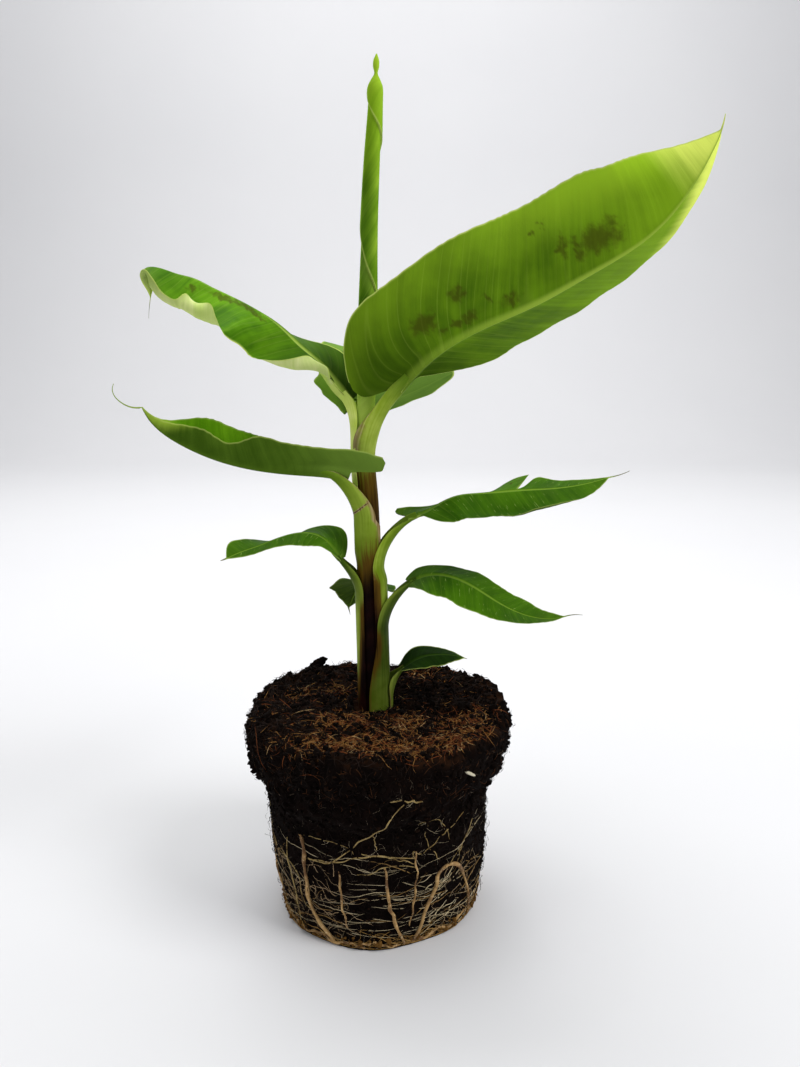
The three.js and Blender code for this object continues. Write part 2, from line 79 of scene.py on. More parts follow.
bpy.ops.object.camera_add(location=CAMERA_PLACE, rotation=(math.radians(90 - CAMERA_TILT), 0, 0))
camera = bpy.context.object
camera.data.sensor_width = SENSOR
camera.data.lens = SENSOR * FOCAL_PIXELS / PICTURE_HEIGHT
bpy.context.scene.camera = camera
print("camera lens:", round(camera.data.lens, 2), "mm")

# %% Floor that bends up behind the plant
FLOOR_SIZE = 7.0
WALL_HEIGHT = 4.0
BEND_RADIUS = 1.2
BEND_SEGMENTS = 24

bpy.ops.object.select_all(action="DESELECT")
bpy.ops.mesh.primitive_plane_add(size=FLOOR_SIZE)
floor = bpy.context.object
floor.name = "studio_floor"
bpy.ops.object.mode_set(mode="EDIT")
bpy.ops.mesh.select_mode(type="EDGE")
bpy.ops.mesh.select_all(action="DESELECT")
bpy.ops.object.mode_set(mode="OBJECT")
for edge in floor.data.edges:
    edge.select = all(floor.data.vertices[v].co.y > 0 for v in edge.vertices)
bpy.ops.object.mode_set(mode="EDIT")
bpy.ops.mesh.extrude_region_move(TRANSFORM_OT_translate={"value": (0, 0, WALL_HEIGHT)})
bpy.ops.object.mode_set(mode="OBJECT")
for edge in floor.data.edges:
    ends = [floor.data.vertices[v].co for v in edge.vertices]
    edge.select = all(end.y > 0 and end.z < BEND_RADIUS for end in ends)
bpy.ops.object.mode_set(mode="EDIT")
bpy.ops.mesh.bevel(offset=BEND_RADIUS, segments=BEND_SEGMENTS)
bpy.ops.object.mode_set(mode="OBJECT")
bpy.ops.object.shade_smooth()
print("floor faces:", len(floor.data.polygons))

# %% Soft lamps and a pale room
AIM = Vector((0, 0, 0.28))
WALL_AIM = Vector((0, 3.5, 0.9))
LAMPS = [
    ("key_lamp", (1.45, -0.7, 1.8), 1.0, 29, AIM),
    ("fill_lamp", (-1.5, -1.0, 1.0), 1.6, 6, AIM),
    ("top_lamp", (-0.4, 0.5, 2.2), 1.6, 24, AIM),
    ("wall_lamp", (0, 1.4, 2.7), 2.4, 52, WALL_AIM),
]

for name, place, size, power, aim in LAMPS:
    bpy.ops.object.light_add(type="AREA", location=place)
    lamp = bpy.context.object
    lamp.name = name
    lamp.data.size = size
    lamp.data.energy = power
    lamp.rotation_euler = (aim - lamp.location).to_track_quat("-Z", "Y").to_euler()

ROOM_COLOUR = paint("#f3f4f8")
ROOM_LIGHT = 0.36
room = bpy.data.worlds.new("pale_room")
room.use_nodes = True
room.node_tree.nodes["Background"].inputs["Color"].default_value = ROOM_COLOUR
room.node_tree.nodes["Background"].inputs["Strength"].default_value = ROOM_LIGHT
bpy.context.scene.world = room
bpy.context.scene.view_settings.view_transform = "Standard"
print("lamps:", len(LAMPS))

# %% [markdown]
# ## Finishes are small node trees
# A finish on a plant is never one colour. Each one here starts from a few paints and mixes them by
# noise and by marks that the meshes carry, such as how near a point is to the leaf's rim. The class
# below only shortens the writing: every method adds one node and hands back its output, so a finish
# reads from top to bottom like a recipe. A number or a paint that doesn't vary is set on the socket.

# %% A short way to write node trees
class Finish:
    """A material built node by node on one Principled shader."""

    def __init__(self, name, roughness=0.5, specular=0.5):
        self.material = bpy.data.materials.new(name)
        self.material.use_nodes = True
        self.tree = self.material.node_tree
        self.shader = self.tree.nodes["Principled BSDF"]
        self.shader.inputs["Roughness"].default_value = roughness
        self.shader.inputs["Specular IOR Level"].default_value = specular

    def plug(self, socket, value):
        """Links another node's output to a socket, or sets a number or a paint on it."""
        if isinstance(value, bpy.types.NodeSocket):
            self.tree.links.new(value, socket)
        else:
            socket.default_value = paint(value) if isinstance(value, str) else value

    def add(self, kind, inputs, output=0, **settings):
        node = self.tree.nodes.new("ShaderNode" + kind)
        for key, value in settings.items():
            setattr(node, key, value)
        for key, value in inputs.items():
            self.plug(node.inputs[key], value)
        return node.outputs[output]

    def marks(self, name):
        """The three numbers of a mark that the mesh carries at each point."""
        vector = self.add("Attribute", {}, "Vector", attribute_name=name)
        return self.add("SeparateXYZ", {0: vector}).node.outputs

    def place(self):
        return self.add("TexCoord", {}, "Object")

    def calc(self, operation, a, b=0.0):
        return self.add("Math", {0: a, 1: b}, operation=operation)

    def times(self, a, b):
        return self.calc("MULTIPLY", a, b)

    def join(self, x, y=0.0, z=0.0):
        return self.add("CombineXYZ", {0: x, 1: y, 2: z})

    def noise(self, vector, scale, detail=3.0, rough=0.55):
        inputs = {"Vector": vector, "Scale": scale, "Detail": detail, "Roughness": rough}
        return self.add("TexNoise", inputs, "Fac")

    def blend(self, *parts):
        """A sum of (value, weight) pairs."""
        total = 0.0
        for value, weight in parts:
            total = self.add("Math", {0: value, 1: weight, 2: total}, operation="MULTIPLY_ADD")
        return total

    def fit(self, value, low, high, to_low=0.0, to_high=1.0):
        """Carries the range from low to high over to another one, with soft ends."""
        inputs = {"Value": value, "From Min": low, "From Max": high}
        inputs.update({"To Min": to_low, "To Max": to_high})
        return self.add("MapRange", inputs, interpolation_type="SMOOTHSTEP")

    def mix(self, first, second, share):
        return self.add("Mix", {0: share, 6: first, 7: second}, 2, data_type="RGBA")

    def finish(self, colour, roughness=None, height=None, depth=0.0002, strength=0.5):
        self.plug(self.shader.inputs["Base Color"], colour)
        if roughness is not None:
            self.plug(self.shader.inputs["Roughness"], roughness)
        if height is not None:
            inputs = {"Height": height, "Distance": depth, "Strength": strength}
            self.plug(self.shader.inputs["Normal"], self.add("Bump", inputs))
        return self.material


print("finish recipes can be written")

# %% The floor's finish
sheet = Finish("studio_sheet", roughness=0.7, specular=0.2)
cloud = sheet.noise(sheet.place(), 1.5)
floor.data.materials.append(sheet.finish(sheet.mix("#dedee0", "#e4e4e5", cloud)))
print("floor finish:", floor.data.materials[0].name)

# %% [markdown]
# ## Sheets that are wrapped into shapes
# Stems, stalks and leaves are all skins that follow a line. By hand one would extrude a ring again
# and again, turning and scaling it at each step. Here a flat grid is added, which brings its own
# texture map, and its rows and columns are laid on the points that a growth rule works out. The
# seam is then merged, open ends are filled and the faces are turned outwards.

# %% Grid and layout
def add_grid(name, columns, rows):
    bpy.ops.object.select_all(action="DESELECT")
    bpy.ops.mesh.primitive_grid_add(x_subdivisions=columns, y_subdivisions=rows, size=1)
    piece = bpy.context.object
    piece.name = name
    piece.data.name = name
    piece.data.uv_layers[0].name = "OFBake"
    return piece


def lay_out(piece, points, marks):
    """Moves the grid's corners to points[row, column], in millimetres, and stores marks there."""
    mesh = piece.data
    flat = np.empty(3 * len(mesh.vertices))
    mesh.vertices.foreach_get("co", flat)
    x, y, _ = flat.reshape(-1, 3).T
    row = np.rint((y + 0.5) * (points.shape[0] - 1)).astype(int)
    column = np.rint((x + 0.5) * (points.shape[1] - 1)).astype(int)
    mesh.vertices.foreach_set("co", (points[row, column] * MM).ravel())
    for name, values in marks.items():
        store = mesh.attributes.new(name, "FLOAT_VECTOR", "POINT")
        store.data.foreach_set("vector", values[row, column].astype(np.float32).ravel())
    mesh.update()


print("a grid's corners can be laid on points")

# %% Close a skin and dress a piece
MERGE_DISTANCE = 1e-6
SHARP_ANGLE = math.radians(70)


def close_skin():
    """Merges the seam, fills the ends and turns the faces of the active piece outwards."""
    bpy.ops.object.mode_set(mode="EDIT")
    bpy.ops.mesh.select_all(action="SELECT")
    bpy.ops.mesh.remove_doubles(threshold=MERGE_DISTANCE)
    bpy.ops.mesh.fill_holes(sides=0)
    bpy.ops.mesh.select_all(action="SELECT")
    bpy.ops.mesh.normals_make_consistent(inside=False)
    bpy.ops.object.mode_set(mode="OBJECT")
    bpy.ops.object.shade_smooth_by_angle(angle=SHARP_ANGLE)


def wrap(name, points, marks):
    """A closed skin over points[row, column], with marks stored at its corners."""
    piece = add_grid(name, points.shape[1] - 1, points.shape[0] - 1)
    lay_out(piece, points, marks)
    close_skin()
    return piece


def dress(piece, slot, material, *nodes):
    """Gives a piece its finish and its place in the model."""
    piece.data.materials.clear()
    piece.data.materials.append(material)
    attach(piece, "root")
    if nodes:
        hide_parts(*nodes)
    print(f"{piece.name}: {len(piece.data.polygons)} faces")


print("grids can be wrapped")

# %% [markdown]
# ## Curves through a few values
# A grower describes a leaf by how it leaves the stem, how it arches and how it rolls. Each of these
# is a short list of angles, read smoothly from the leaf's base to its tip. Directions come from a
# heading round the plant and a pitch above the level.

# %% Smooth reading, directions and blends
def along(values, t):
    """A smooth curve through evenly spaced values, read at t from 0 to 1."""
    values = np.asarray(values, float)
    last = len(values) - 1
    x = np.clip(t, 0, 1) * last
    i = np.minimum(x.astype(int), last - 1)
    f = x - i
    a = values[np.maximum(i - 1, 0)]
    b = values[i]
    c = values[i + 1]
    d = values[np.minimum(i + 2, last)]
    bend = 2 * a - 5 * b + 4 * c - d
    twist = 3 * b - a - 3 * c + d
    return 0.5 * (2 * b + (c - a) * f + bend * f**2 + twist * f**3)


def direction(azimuth):
    turn = np.radians(np.asarray(azimuth, float))
    return np.stack([np.cos(turn), np.sin(turn), np.zeros_like(turn)], -1)


def lerp(a, b, t):
    return a + (b - a) * t


def ease(x, low, high):
    s = np.clip((x - low) / (high - low), 0, 1)
    return s * s * (3 - 2 * s)


def unit(vectors):
    return vectors / np.linalg.norm(vectors, axis=-1, keepdims=True)


print("half way from 0 to 90 degrees:", along([0, 45, 90], np.array([0.5])))

# %% [markdown]
# ## The root ball
# The ball is the cast of a nursery pot: a tapered side, a wider collar where the pot's rim stood out,
# and a lumpy top. A lathe could turn it, but it isn't round, so a sheet is wrapped round the same
# rule as the plain solid. Two Displace modifiers with cloud textures then break the surface into
# lumps and crumbs. A vertex group keeps the underside flat, because the ball stands on it, and the
# lower side calmer than the collar.

# %% Shape of the ball
BALL_HEIGHT = 131
BALL_FOOT_RADIUS = 65
BALL_NECK_RADIUS = 72.5
COLLAR_BOTTOM = 84
COLLAR_RISE = 13
COLLAR_STEP = 8.5
COLLAR_FLARE = 4.2
FLARE_START = COLLAR_BOTTOM + 8
COLLAR_WAVES = [(5, 2, 2.4), (1.6, 9, 1)]
BALL_WAVES = [(1.1, 3, 0.04, 1.3), (0.77, 7, -0.09, 0.4)]
SOIL_BUMP = 2.2
SOIL_PAD_RADIUS = 22
SOIL_RIM_ROUND = 4
RIM_START = 125
LUMPS = [(127, 73, 5, 13), (22, 76, 6, 16)]


def ball_radius(height, azimuth):
    turn = np.radians(azimuth)
    body = lerp(BALL_FOOT_RADIUS, BALL_NECK_RADIUS, np.minimum(height / COLLAR_BOTTOM, 1))
    foot = COLLAR_BOTTOM
    for swell, waves, phase in COLLAR_WAVES:
        foot = foot + swell * np.sin(waves * turn + phase)
    radius = body + COLLAR_STEP * ease(height, foot, foot + COLLAR_RISE)
    radius = radius + COLLAR_FLARE * ease(height, FLARE_START, RIM_START)
    for swell, waves, slant, phase in BALL_WAVES:
        radius = radius + swell * np.sin(waves * turn + slant * height + phase)
    return radius


def soil_height(reach, azimuth):
    """Level by the stem, then two waves that cross, and a few lumps at the rim."""
    turn = np.radians(azimuth)
    rough = np.sin(5 * turn + 0.13 * reach) * np.cos(2 * turn - 0.11 * reach)
    height = BALL_HEIGHT + SOIL_BUMP * rough * ease(reach, SOIL_PAD_RADIUS, 2 * SOIL_PAD_RADIUS)
    at = direction(azimuth) * np.asarray(reach)[..., None]
    for lump_azimuth, lump_reach, lump_height, size in LUMPS:
        distance = np.linalg.norm(at - direction(lump_azimuth) * lump_reach, axis=-1)
        height = height + lump_height * np.exp(-((distance / size) ** 2))
    return height


print("ball radius at its foot and rim:", [ball_radius(z, 0).round(1) for z in (0, RIM_START)], "mm")

# %% Wrap the ball from its underside to the middle of its top
BALL_COLUMNS = 320
UNDER_ROWS = 8
SIDE_ROWS = 96
TOP_ROWS = 64


def ball_sheet():
    azimuth = np.linspace(0, 360, BALL_COLUMNS + 1)[None, :]
    under = np.linspace(0, 1, UNDER_ROWS, endpoint=False)[:, None] * ball_radius(0, azimuth)
    heights = np.linspace(0, RIM_START, SIDE_ROWS)[:, None]
    side = ball_radius(heights, azimuth)
    rim = ball_radius(BALL_HEIGHT, azimuth) - SOIL_RIM_ROUND
    top = np.linspace(1, 0, TOP_ROWS)[:, None] * rim
    radius = np.vstack([under, side, top])
    up = [np.zeros_like(under), heights + 0 * side, soil_height(top, azimuth + 0 * top)]
    points = direction(azimuth) * radius[..., None]
    points[..., 2] = np.vstack(up)
    return points


peat = wrap("peat", ball_sheet(), {})
print("peat ball:", len(peat.data.vertices), "corners")

# %% Break the surface into lumps and crumbs
FLAT_FOOT = 3.0
CALM_SIDE = 0.42
SUNK_MIDDLE = 0.55
ROUGHNESS_STEPS = [("lumps", 10, 5.2), ("crumbs", 3.2, 2.8)]


def displace(piece, name, size, strength, middle=0.5, group=""):
    """Pushes the active piece's surface in and out by clouds of one size, and applies that."""
    texture = bpy.data.textures.new(f"{piece.name}_{name}", "CLOUDS")
    texture.noise_scale = size * MM
    modifier = piece.modifiers.new(name, "DISPLACE")
    modifier.texture = texture
    modifier.texture_coords = "LOCAL"
    modifier.strength = strength * MM
    modifier.mid_level = middle
    modifier.vertex_group = group
    bpy.ops.object.modifier_apply(modifier=name)


grip = peat.vertex_groups.new(name="rough")
for vertex in peat.data.vertices:
    height = vertex.co.z / MM
    lift = min(max(height / FLAT_FOOT, 0.0), 1.0)
    rough = lerp(CALM_SIDE, 1.0, ease(height, COLLAR_BOTTOM, COLLAR_BOTTOM + COLLAR_RISE))
    grip.add([vertex.index], float(lift * rough), "REPLACE")
for name, size, strength in ROUGHNESS_STEPS:
    displace(peat, name, size, strength, SUNK_MIDDLE, grip.name)
print("peat height:", round(max(v.co.z for v in peat.data.vertices) / MM, 1), "mm")

# %% [markdown]
# ## Finish of the peat
# Wet peat is nearly black with brown fibres in it, and the top is rustier than the sides. The recipe
# mixes dark paints by noise at two sizes and shows rust on the faces that look up.

# %% Peat finish
soil = Finish("wet_peat", roughness=0.95, specular=0.04)
spot = soil.place()
facing = soil.add("SeparateXYZ", {0: soil.add("NewGeometry", {}, "Normal")}, 2)
coarse = soil.noise(spot, 90, detail=4)
fine = soil.noise(spot, 900, detail=3)
dark = soil.mix("#060302", "#130b08", soil.fit(coarse, 0.35, 0.7))
rust = soil.mix("#170d08", "#351f10", fine)
topness = soil.times(soil.fit(facing, 0.3, 0.8), soil.fit(coarse, 0.42, 0.66))
speckle = soil.fit(fine, 0.42, 0.62)
colour = soil.mix(soil.mix(dark, "#0b0605", speckle), rust, topness)
peat_finish = soil.finish(colour, height=fine, depth=0.0006, strength=0.8)
dress(peat, "soil", peat_finish, "root_ball")

# %% [markdown]
# ## Where is the peat's surface?
# Crumbs, fibres and roots lie on the rough peat, and none may float. A ray shot at the mesh finds the
# surface: inwards from the side, or down from above. Everything that follows is placed by these.

# %% Rays that find the peat
FAR = 160


def cast(start, ahead):
    _, place, normal, _ = peat.ray_cast(start, ahead)
    return np.array(place) / MM, np.array(normal)


def side_hit(azimuth, height):
    out = Vector(direction(azimuth))
    return cast(out * (FAR * MM) + Vector((0, 0, height * MM)), -out)


def top_hit(x, y):
    return cast(Vector((x * MM, y * MM, 2 * FAR * MM)), Vector((0, 0, -1)))


print("side of the ball, at the front:", side_hit(-90, 50)[0].round(1), "mm")

# %% [markdown]
# ## Many small things as one mesh
# Thousands of crumbs and fibres would be thousands of objects. Each kind is worked out as arrays of
# corners and faces instead and becomes one joined mesh. A crumb is a bent twenty-sided lump. A fibre
# is a thin three-sided spike, closed at both ends.

# %% Builder for crumbs
def mesh_piece(name, points, faces):
    mesh = bpy.data.meshes.new(name)
    mesh.from_pydata((points * MM).tolist(), [], faces)
    mesh.update()
    piece = bpy.data.objects.new(name, mesh)
    bpy.context.collection.objects.link(piece)
    return piece


GOLDEN = (1 + math.sqrt(5)) / 2
LUMP_EDGE = 1.1
LUMP_DENTS = (0.6, 1.25)
LUMP_STRETCH = (0.6, 1.3)
LUMP_CORNERS = unit(
    np.array(
        [(0, a, b * GOLDEN) for a in (-1, 1) for b in (-1, 1)]
        + [(a, b * GOLDEN, 0) for a in (-1, 1) for b in (-1, 1)]
        + [(b * GOLDEN, 0, a) for a in (-1, 1) for b in (-1, 1)],
        float,
    )
)


def lump_faces():
    """The twenty triangles between corners that are nearest neighbours, seen from outside."""
    near = np.linalg.norm(LUMP_CORNERS[:, None] - LUMP_CORNERS[None], axis=-1) < LUMP_EDGE
    faces = []
    for i, j, k in itertools.combinations(range(len(LUMP_CORNERS)), 3):
        if near[i, j] and near[j, k] and near[i, k]:
            a, b, c = LUMP_CORNERS[[i, j, k]]
            outwards = np.dot(np.cross(b - a, c - a), a) > 0
            faces.append((i, j, k) if outwards else (i, k, j))
    return np.array(faces)


LUMP_FACES = lump_faces()


def crumbs(name, places, sizes, dice):
    """Dented, stretched and turned lumps, all in one mesh."""
    count, corners = len(places), len(LUMP_CORNERS)
    shape = LUMP_CORNERS[None] * dice.uniform(*LUMP_DENTS, (count, corners, 1))
    turn, _ = np.linalg.qr(dice.normal(size=(count, 3, 3)))
    shape = shape * dice.uniform(*LUMP_STRETCH, (count, 1, 3))
    points = places[:, None] + np.einsum("nij,nkj->nki", turn, shape) * sizes[:, None, None]
    faces = LUMP_FACES[None] + corners * np.arange(count)[:, None, None]
    mirrored = np.linalg.det(turn) < 0
    faces[mirrored] = faces[mirrored][:, :, ::-1]
    return mesh_piece(name, points.reshape(-1, 3), faces.reshape(-1, 3).tolist())


print("a crumb has", len(LUMP_FACES), "faces")

# %% Builder for strands
STRAND_SIDES = 3


def strand_faces(rings, own):
    """Faces of one spike: rings of quads, and triangles to the two tips, its last two corners."""
    faces = []
    for k in range(STRAND_SIDES):
        n = (k + 1) % STRAND_SIDES
        last = (rings - 1) * STRAND_SIDES
        faces.append([own - 2, n, k, k])
        faces.append([last + k, last + n, own - 1, own - 1])
        for r in range(rings - 1):
            low, high = r * STRAND_SIDES, (r + 1) * STRAND_SIDES
            faces.append([low + k, low + n, high + n, high + k])
    return np.array(faces)


def strands(name, lines, radii):
    """Thin closed spikes along lines[strand, step], each pointed at both ends."""
    count, steps, _ = lines.shape
    ahead = unit(np.gradient(lines, axis=1) + 1e-9)
    helper = np.where(np.abs(ahead[..., 2:]) > 0.8, [1.0, 0, 0], [0, 0, 1.0])
    first = unit(np.cross(ahead, helper))
    second = np.cross(ahead, first)
    angle = 2 * np.pi * np.arange(STRAND_SIDES) / STRAND_SIDES
    ring = first[:, :, None] * np.cos(angle)[:, None] + second[:, :, None] * np.sin(angle)[:, None]
    body = (lines[:, :, None] + ring * radii[:, :, None, None])[:, 1:-1]
    rings = steps - 2
    own = rings * STRAND_SIDES + 2
    points = np.concatenate([body.reshape(count, -1, 3), lines[:, :1], lines[:, -1:]], 1)
    every = (strand_faces(rings, own)[None] + own * np.arange(count)[:, None, None]).reshape(-1, 4)
    clean = [f[:3] if f[2] == f[3] else f for f in every.tolist()]
    return mesh_piece(name, points.reshape(-1, 3), clean)


print("a strand of six steps has", len(strand_faces(4, 14)), "faces")

# %% [markdown]
# ## Crumbs on the ball
# Loose crumbs roughen the outline, most of all along the rim and on the top. They are scattered over
# the side by height and azimuth and over the top evenly by area, and each sits half sunk in the peat.
# Golden flakes of coconut husk lie only where the top is rusty: in patches round the stem and in a
# broad band along the front rim. Tan debris has gathered round the foot.

# %% Places on the side and on the top
STEM_CLEAR = 13
STEM_FOOT_X = -4
TOP_REACH = 82


def scatter_side(count, low, high, dice):
    azimuths = dice.uniform(-180, 180, count)
    heights = dice.uniform(low, high, count)
    hits = [side_hit(a, z) for a, z in zip(azimuths, heights)]
    return np.array([h[0] for h in hits]), np.array([h[1] for h in hits])


def scatter_top(count, dice, reach=TOP_REACH):
    hits = []
    while len(hits) < count:
        x, y = dice.uniform(-reach, reach, 2)
        if STEM_CLEAR < math.hypot(x - STEM_FOOT_X, y) < reach:
            hits.append(top_hit(x, y))
    return np.array([h[0] for h in hits]), np.array([h[1] for h in hits])


print("clear of the stem:", STEM_CLEAR, "mm")

# %% Where the rusty mat lies
RIM_BAND_Y = -60
RIM_BAND_WIDTH = 12
# x, y, size and strength of each patch
RUST_PATCHES = [
    (-53, 16, 7, 0.5), (-30, 26, 9, 0.6), (-29, -28, 10, 0.8), (-11, -26, 11, 0.6), (14, -28, 12, 0.75),
    (51, -28, 14, 0.7), (68, -14, 9, 0.5), (58, -45, 12, 0.8), (30, 58, 12, 0.4),
]


def mat_thickness(places):
    """How thick the rusty mat is at each place: patches, and a band along the front rim."""
    x, y = places[:, 0], places[:, 1]
    band = np.exp(-(((y - RIM_BAND_Y) / RIM_BAND_WIDTH) ** 2))
    thick = band * (0.3 + 0.7 * ease(x, -55, -20))
    for at_x, at_y, size, strength in RUST_PATCHES:
        thick = np.maximum(thick, strength * np.exp(-((np.hypot(x - at_x, y - at_y) / size) ** 2)))
    return thick


def keep_rusty(places, normals, strays, dice):
    """Keeps what fell on the mat, and a few strays beside it."""
    keep = dice.uniform(0, 1, len(places)) < strays + mat_thickness(places)
    return places[keep], normals[keep]


print("rusty patches:", len(RUST_PATCHES))

# %% Scatter the crumbs
SMALLEST_CRUMB = 0.3
SMOOTH_SIDE = 0.9
SUNK_SHARE = 0.45
FLAKE_STRAYS = 0.015


def plain_finish(name, shades, roughness=0.9, specular=0.05):
    grain = Finish(name + "_finish", roughness=roughness, specular=specular)
    patch = grain.noise(grain.place(), 260, detail=2)
    return grain.finish(grain.mix(*shades, patch))


def scatter_crumbs(name, seed, shades, count_side, count_top, largest, rust_only=False):
    dice = np.random.default_rng(seed)
    places, up = scatter_top(count_top, dice)
    if rust_only:
        places, up = keep_rusty(places, up, FLAKE_STRAYS, dice)
    if count_side:
        side, side_up = scatter_side(count_side, 2, 130, dice)
        places, up = np.vstack([side, places]), np.vstack([side_up, up])
    sizes = dice.gamma(2.0, 0.2 * largest / 1.5, len(places)) + SMALLEST_CRUMB
    sizes = np.minimum(sizes, largest)
    sizes = np.minimum(sizes, lerp(SMOOTH_SIDE, largest, ease(places[:, 2], 60, 95)))
    sizes = np.minimum(sizes, SUNK_SHARE * places[:, 2])
    piece = crumbs(name, places + up * sizes[:, None] * 0.25, sizes, dice)
    dress(piece, "soil", plain_finish(name, shades))


scatter_crumbs("peat_crumbs_black", 3, ("#060302", "#110a07"), 4200, 3000, 3.0)
scatter_crumbs("peat_crumbs_brown", 4, ("#0f0806", "#22140b"), 1000, 2400, 2.2)
scatter_crumbs("husk_flakes_rust", 5, ("#4a2912", "#7a471e"), 0, 6500, 1.0, rust_only=True)
scatter_crumbs("husk_flakes_gold", 6, ("#74481e", "#a87238"), 0, 3000, 0.8, rust_only=True)

# %% Debris round the foot
DEBRIS = 520

dice = np.random.default_rng(7)
places, up = scatter_side(DEBRIS, 0.9, 8, dice)
sizes = np.minimum(dice.gamma(2.0, 0.3, DEBRIS) + SMALLEST_CRUMB, SUNK_SHARE * places[:, 2])
debris = crumbs("foot_debris", places + up * sizes[:, None] * 0.6, sizes, dice)
dress(debris, "soil", plain_finish("foot_debris", ("#33200f", "#7d5a2a")))

# %% [markdown]
# ## Coconut fibre
# The peat holds coconut fibre, which lies matted on the top in rusty patches and along the front rim.
# Each fibre is a short bent spike laid on the surface. Four pieces in gold, rust, straw and dark brown
# overlap, so the mat has depth without any picture texture.

# %% Lay fibres on the top
FIBRE_STEPS = 6
FIBRE_BEND = 0.55
FIBRE_HOOK = 0.8
FIBRE_REACH = 83
FIBRE_STRAYS = 0.025


def lay_fibres(places, normals, lengths, lift, dice):
    """Bent lines that lie on the surface at each place, as arrays of points."""
    count = len(places)
    spin = dice.normal(size=(count, 3))
    heading = unit(np.cross(normals, spin))
    aside = np.cross(normals, heading)
    s = np.linspace(-0.5, 0.5, FIBRE_STEPS)[None, :, None]
    bend = dice.normal(0, FIBRE_BEND, (count, 1, 1))
    hook = dice.normal(0, FIBRE_HOOK, (count, 1, 1))
    size = lengths[:, None, None]
    line = places[:, None] + heading[:, None] * s * size
    line = line + aside[:, None] * size * (bend * (s**2 - 0.1) + hook * s**3)
    rise = lift[:, None, None] * (1 - 1.6 * s**2 + dice.normal(0, 0.35, (count, 1, 1)) * s)
    return line + normals[:, None] * rise


def taper(radius):
    shape = np.sin(np.linspace(0.15, 0.9, FIBRE_STEPS) * np.pi)
    return radius[:, None] * shape[None]


def fibre_mat(name, seed, count, thin, shades, rust_only):
    dice = np.random.default_rng(seed)
    places, normals = scatter_top(count, dice, FIBRE_REACH)
    if rust_only:
        places, normals = keep_rusty(places, normals, FIBRE_STRAYS, dice)
    lengths = dice.gamma(4, 1.4, len(places)) + 2
    lift = dice.gamma(1.4, 0.4, len(places)) + 0.2
    lines = lay_fibres(places, normals, lengths, lift, dice)
    piece = strands(name, lines, taper(dice.uniform(0.6, 1.4, len(places)) * thin))
    dress(piece, "soil", plain_finish(name, shades, 0.8, 0.2))


fibre_mat("coco_fibre_gold", 11, 6500, 0.14, ("#7d5226", "#be8c4c"), True)
fibre_mat("coco_fibre_rust", 12, 7500, 0.16, ("#54280f", "#8d4c20"), True)
fibre_mat("coco_fibre_straw", 14, 1500, 0.13, ("#a37c48", "#dcbd8a"), True)
fibre_mat("coco_fibre_dark", 13, 4200, 0.17, ("#0e0806", "#28170c"), False)

# %% [markdown]
# ## Fibres and hairs on the side
# The side is blacker. Short dark fibres stand out of it and roughen the outline, brown ones lie on the
# collar, and a few fine grey hairs catch the light.

# %% Fibres on the side
LOWEST_FIBRE = 0.3


def side_fibres(name, seed, count, low, high, thin, shades, stand):
    dice = np.random.default_rng(seed)
    places, normals = scatter_side(count, low, high, dice)
    lengths = dice.gamma(3, 1.2, count) + 1.5
    lift = dice.gamma(1.5, stand, count)
    lines = lay_fibres(places, normals, lengths, lift, dice)
    lines[..., 2] = np.maximum(lines[..., 2], LOWEST_FIBRE)
    piece = strands(name, lines, taper(dice.uniform(0.6, 1.3, count) * thin))
    dress(piece, "soil", plain_finish(name, shades, 0.85, 0.15))


side_fibres("side_fibre_dark", 21, 4600, 4, 129, 0.15, ("#0a0504", "#1b0f08"), 0.7)
side_fibres("side_fibre_brown", 22, 500, 100, 130, 0.12, ("#2c190c", "#5f3819"), 0.5)
side_fibres("side_hair_grey", 23, 420, 30, 120, 0.05, ("#5f5040", "#a89a86"), 0.3)

# %% [markdown]
# ## A bark chip and a white flake
# Two odd pieces catch the eye: a chip of bark that leans on the rim at the back, and a white flake in
# the collar at the front. Each starts as an icosphere that is scaled, turned and moved in edit mode and
# then dented by a Displace modifier.

# %% Model the two odd pieces
DENT_SIZE = 1.8
CHIP_ANGLE = math.radians(40)
FLAKE_AZIMUTH = -50.4


def odd_piece(name, radii, lean, place, rough):
    bpy.ops.object.select_all(action="DESELECT")
    bpy.ops.mesh.primitive_ico_sphere_add(subdivisions=4, radius=MM)
    piece = bpy.context.object
    piece.name = name
    bpy.ops.object.mode_set(mode="EDIT")
    bpy.ops.mesh.select_all(action="SELECT")
    bpy.ops.transform.resize(value=radii)
    bpy.ops.transform.rotate(value=math.radians(lean), orient_axis="Y", center_override=(0, 0, 0))
    bpy.ops.transform.translate(value=Vector(place) * MM)
    bpy.ops.object.mode_set(mode="OBJECT")
    displace(piece, "dents", DENT_SIZE, rough)
    bpy.ops.object.shade_smooth_by_angle(angle=CHIP_ANGLE)
    return piece


chip_place = top_hit(-44, 68)[0] + (-2, 0, 3)
dress(odd_piece("bark_chip", (3.2, 2.6, 8.4), -56, chip_place, 2.2), "soil", peat_finish)
flake_place = side_hit(FLAKE_AZIMUTH, 116.4)[0] + direction(FLAKE_AZIMUTH) * 0.9
flake_finish = plain_finish("white_flake", ("#bdb394", "#efe9d6"))
dress(odd_piece("white_flake", (3.7, 1.3, 0.9), -24, flake_place, 0.5), "root", flake_finish)

# %% [markdown]
# ## Fine roots
# Over the lower part of the side a web of pale roots shows, finer than string. They creep level round
# the ball, mat together at places and at the foot, and lie side by side in bands between the thick
# roots. Each root is a walk in small steps over the surface: a heading that wanders, read as a turn
# round the ball and a climb.

# %% Walk roots over the side
WALK_STEPS = 13
TAUT_STEPS = 5
ROOT_LIFT = 0.35
LOWEST_ROOT = 1.2


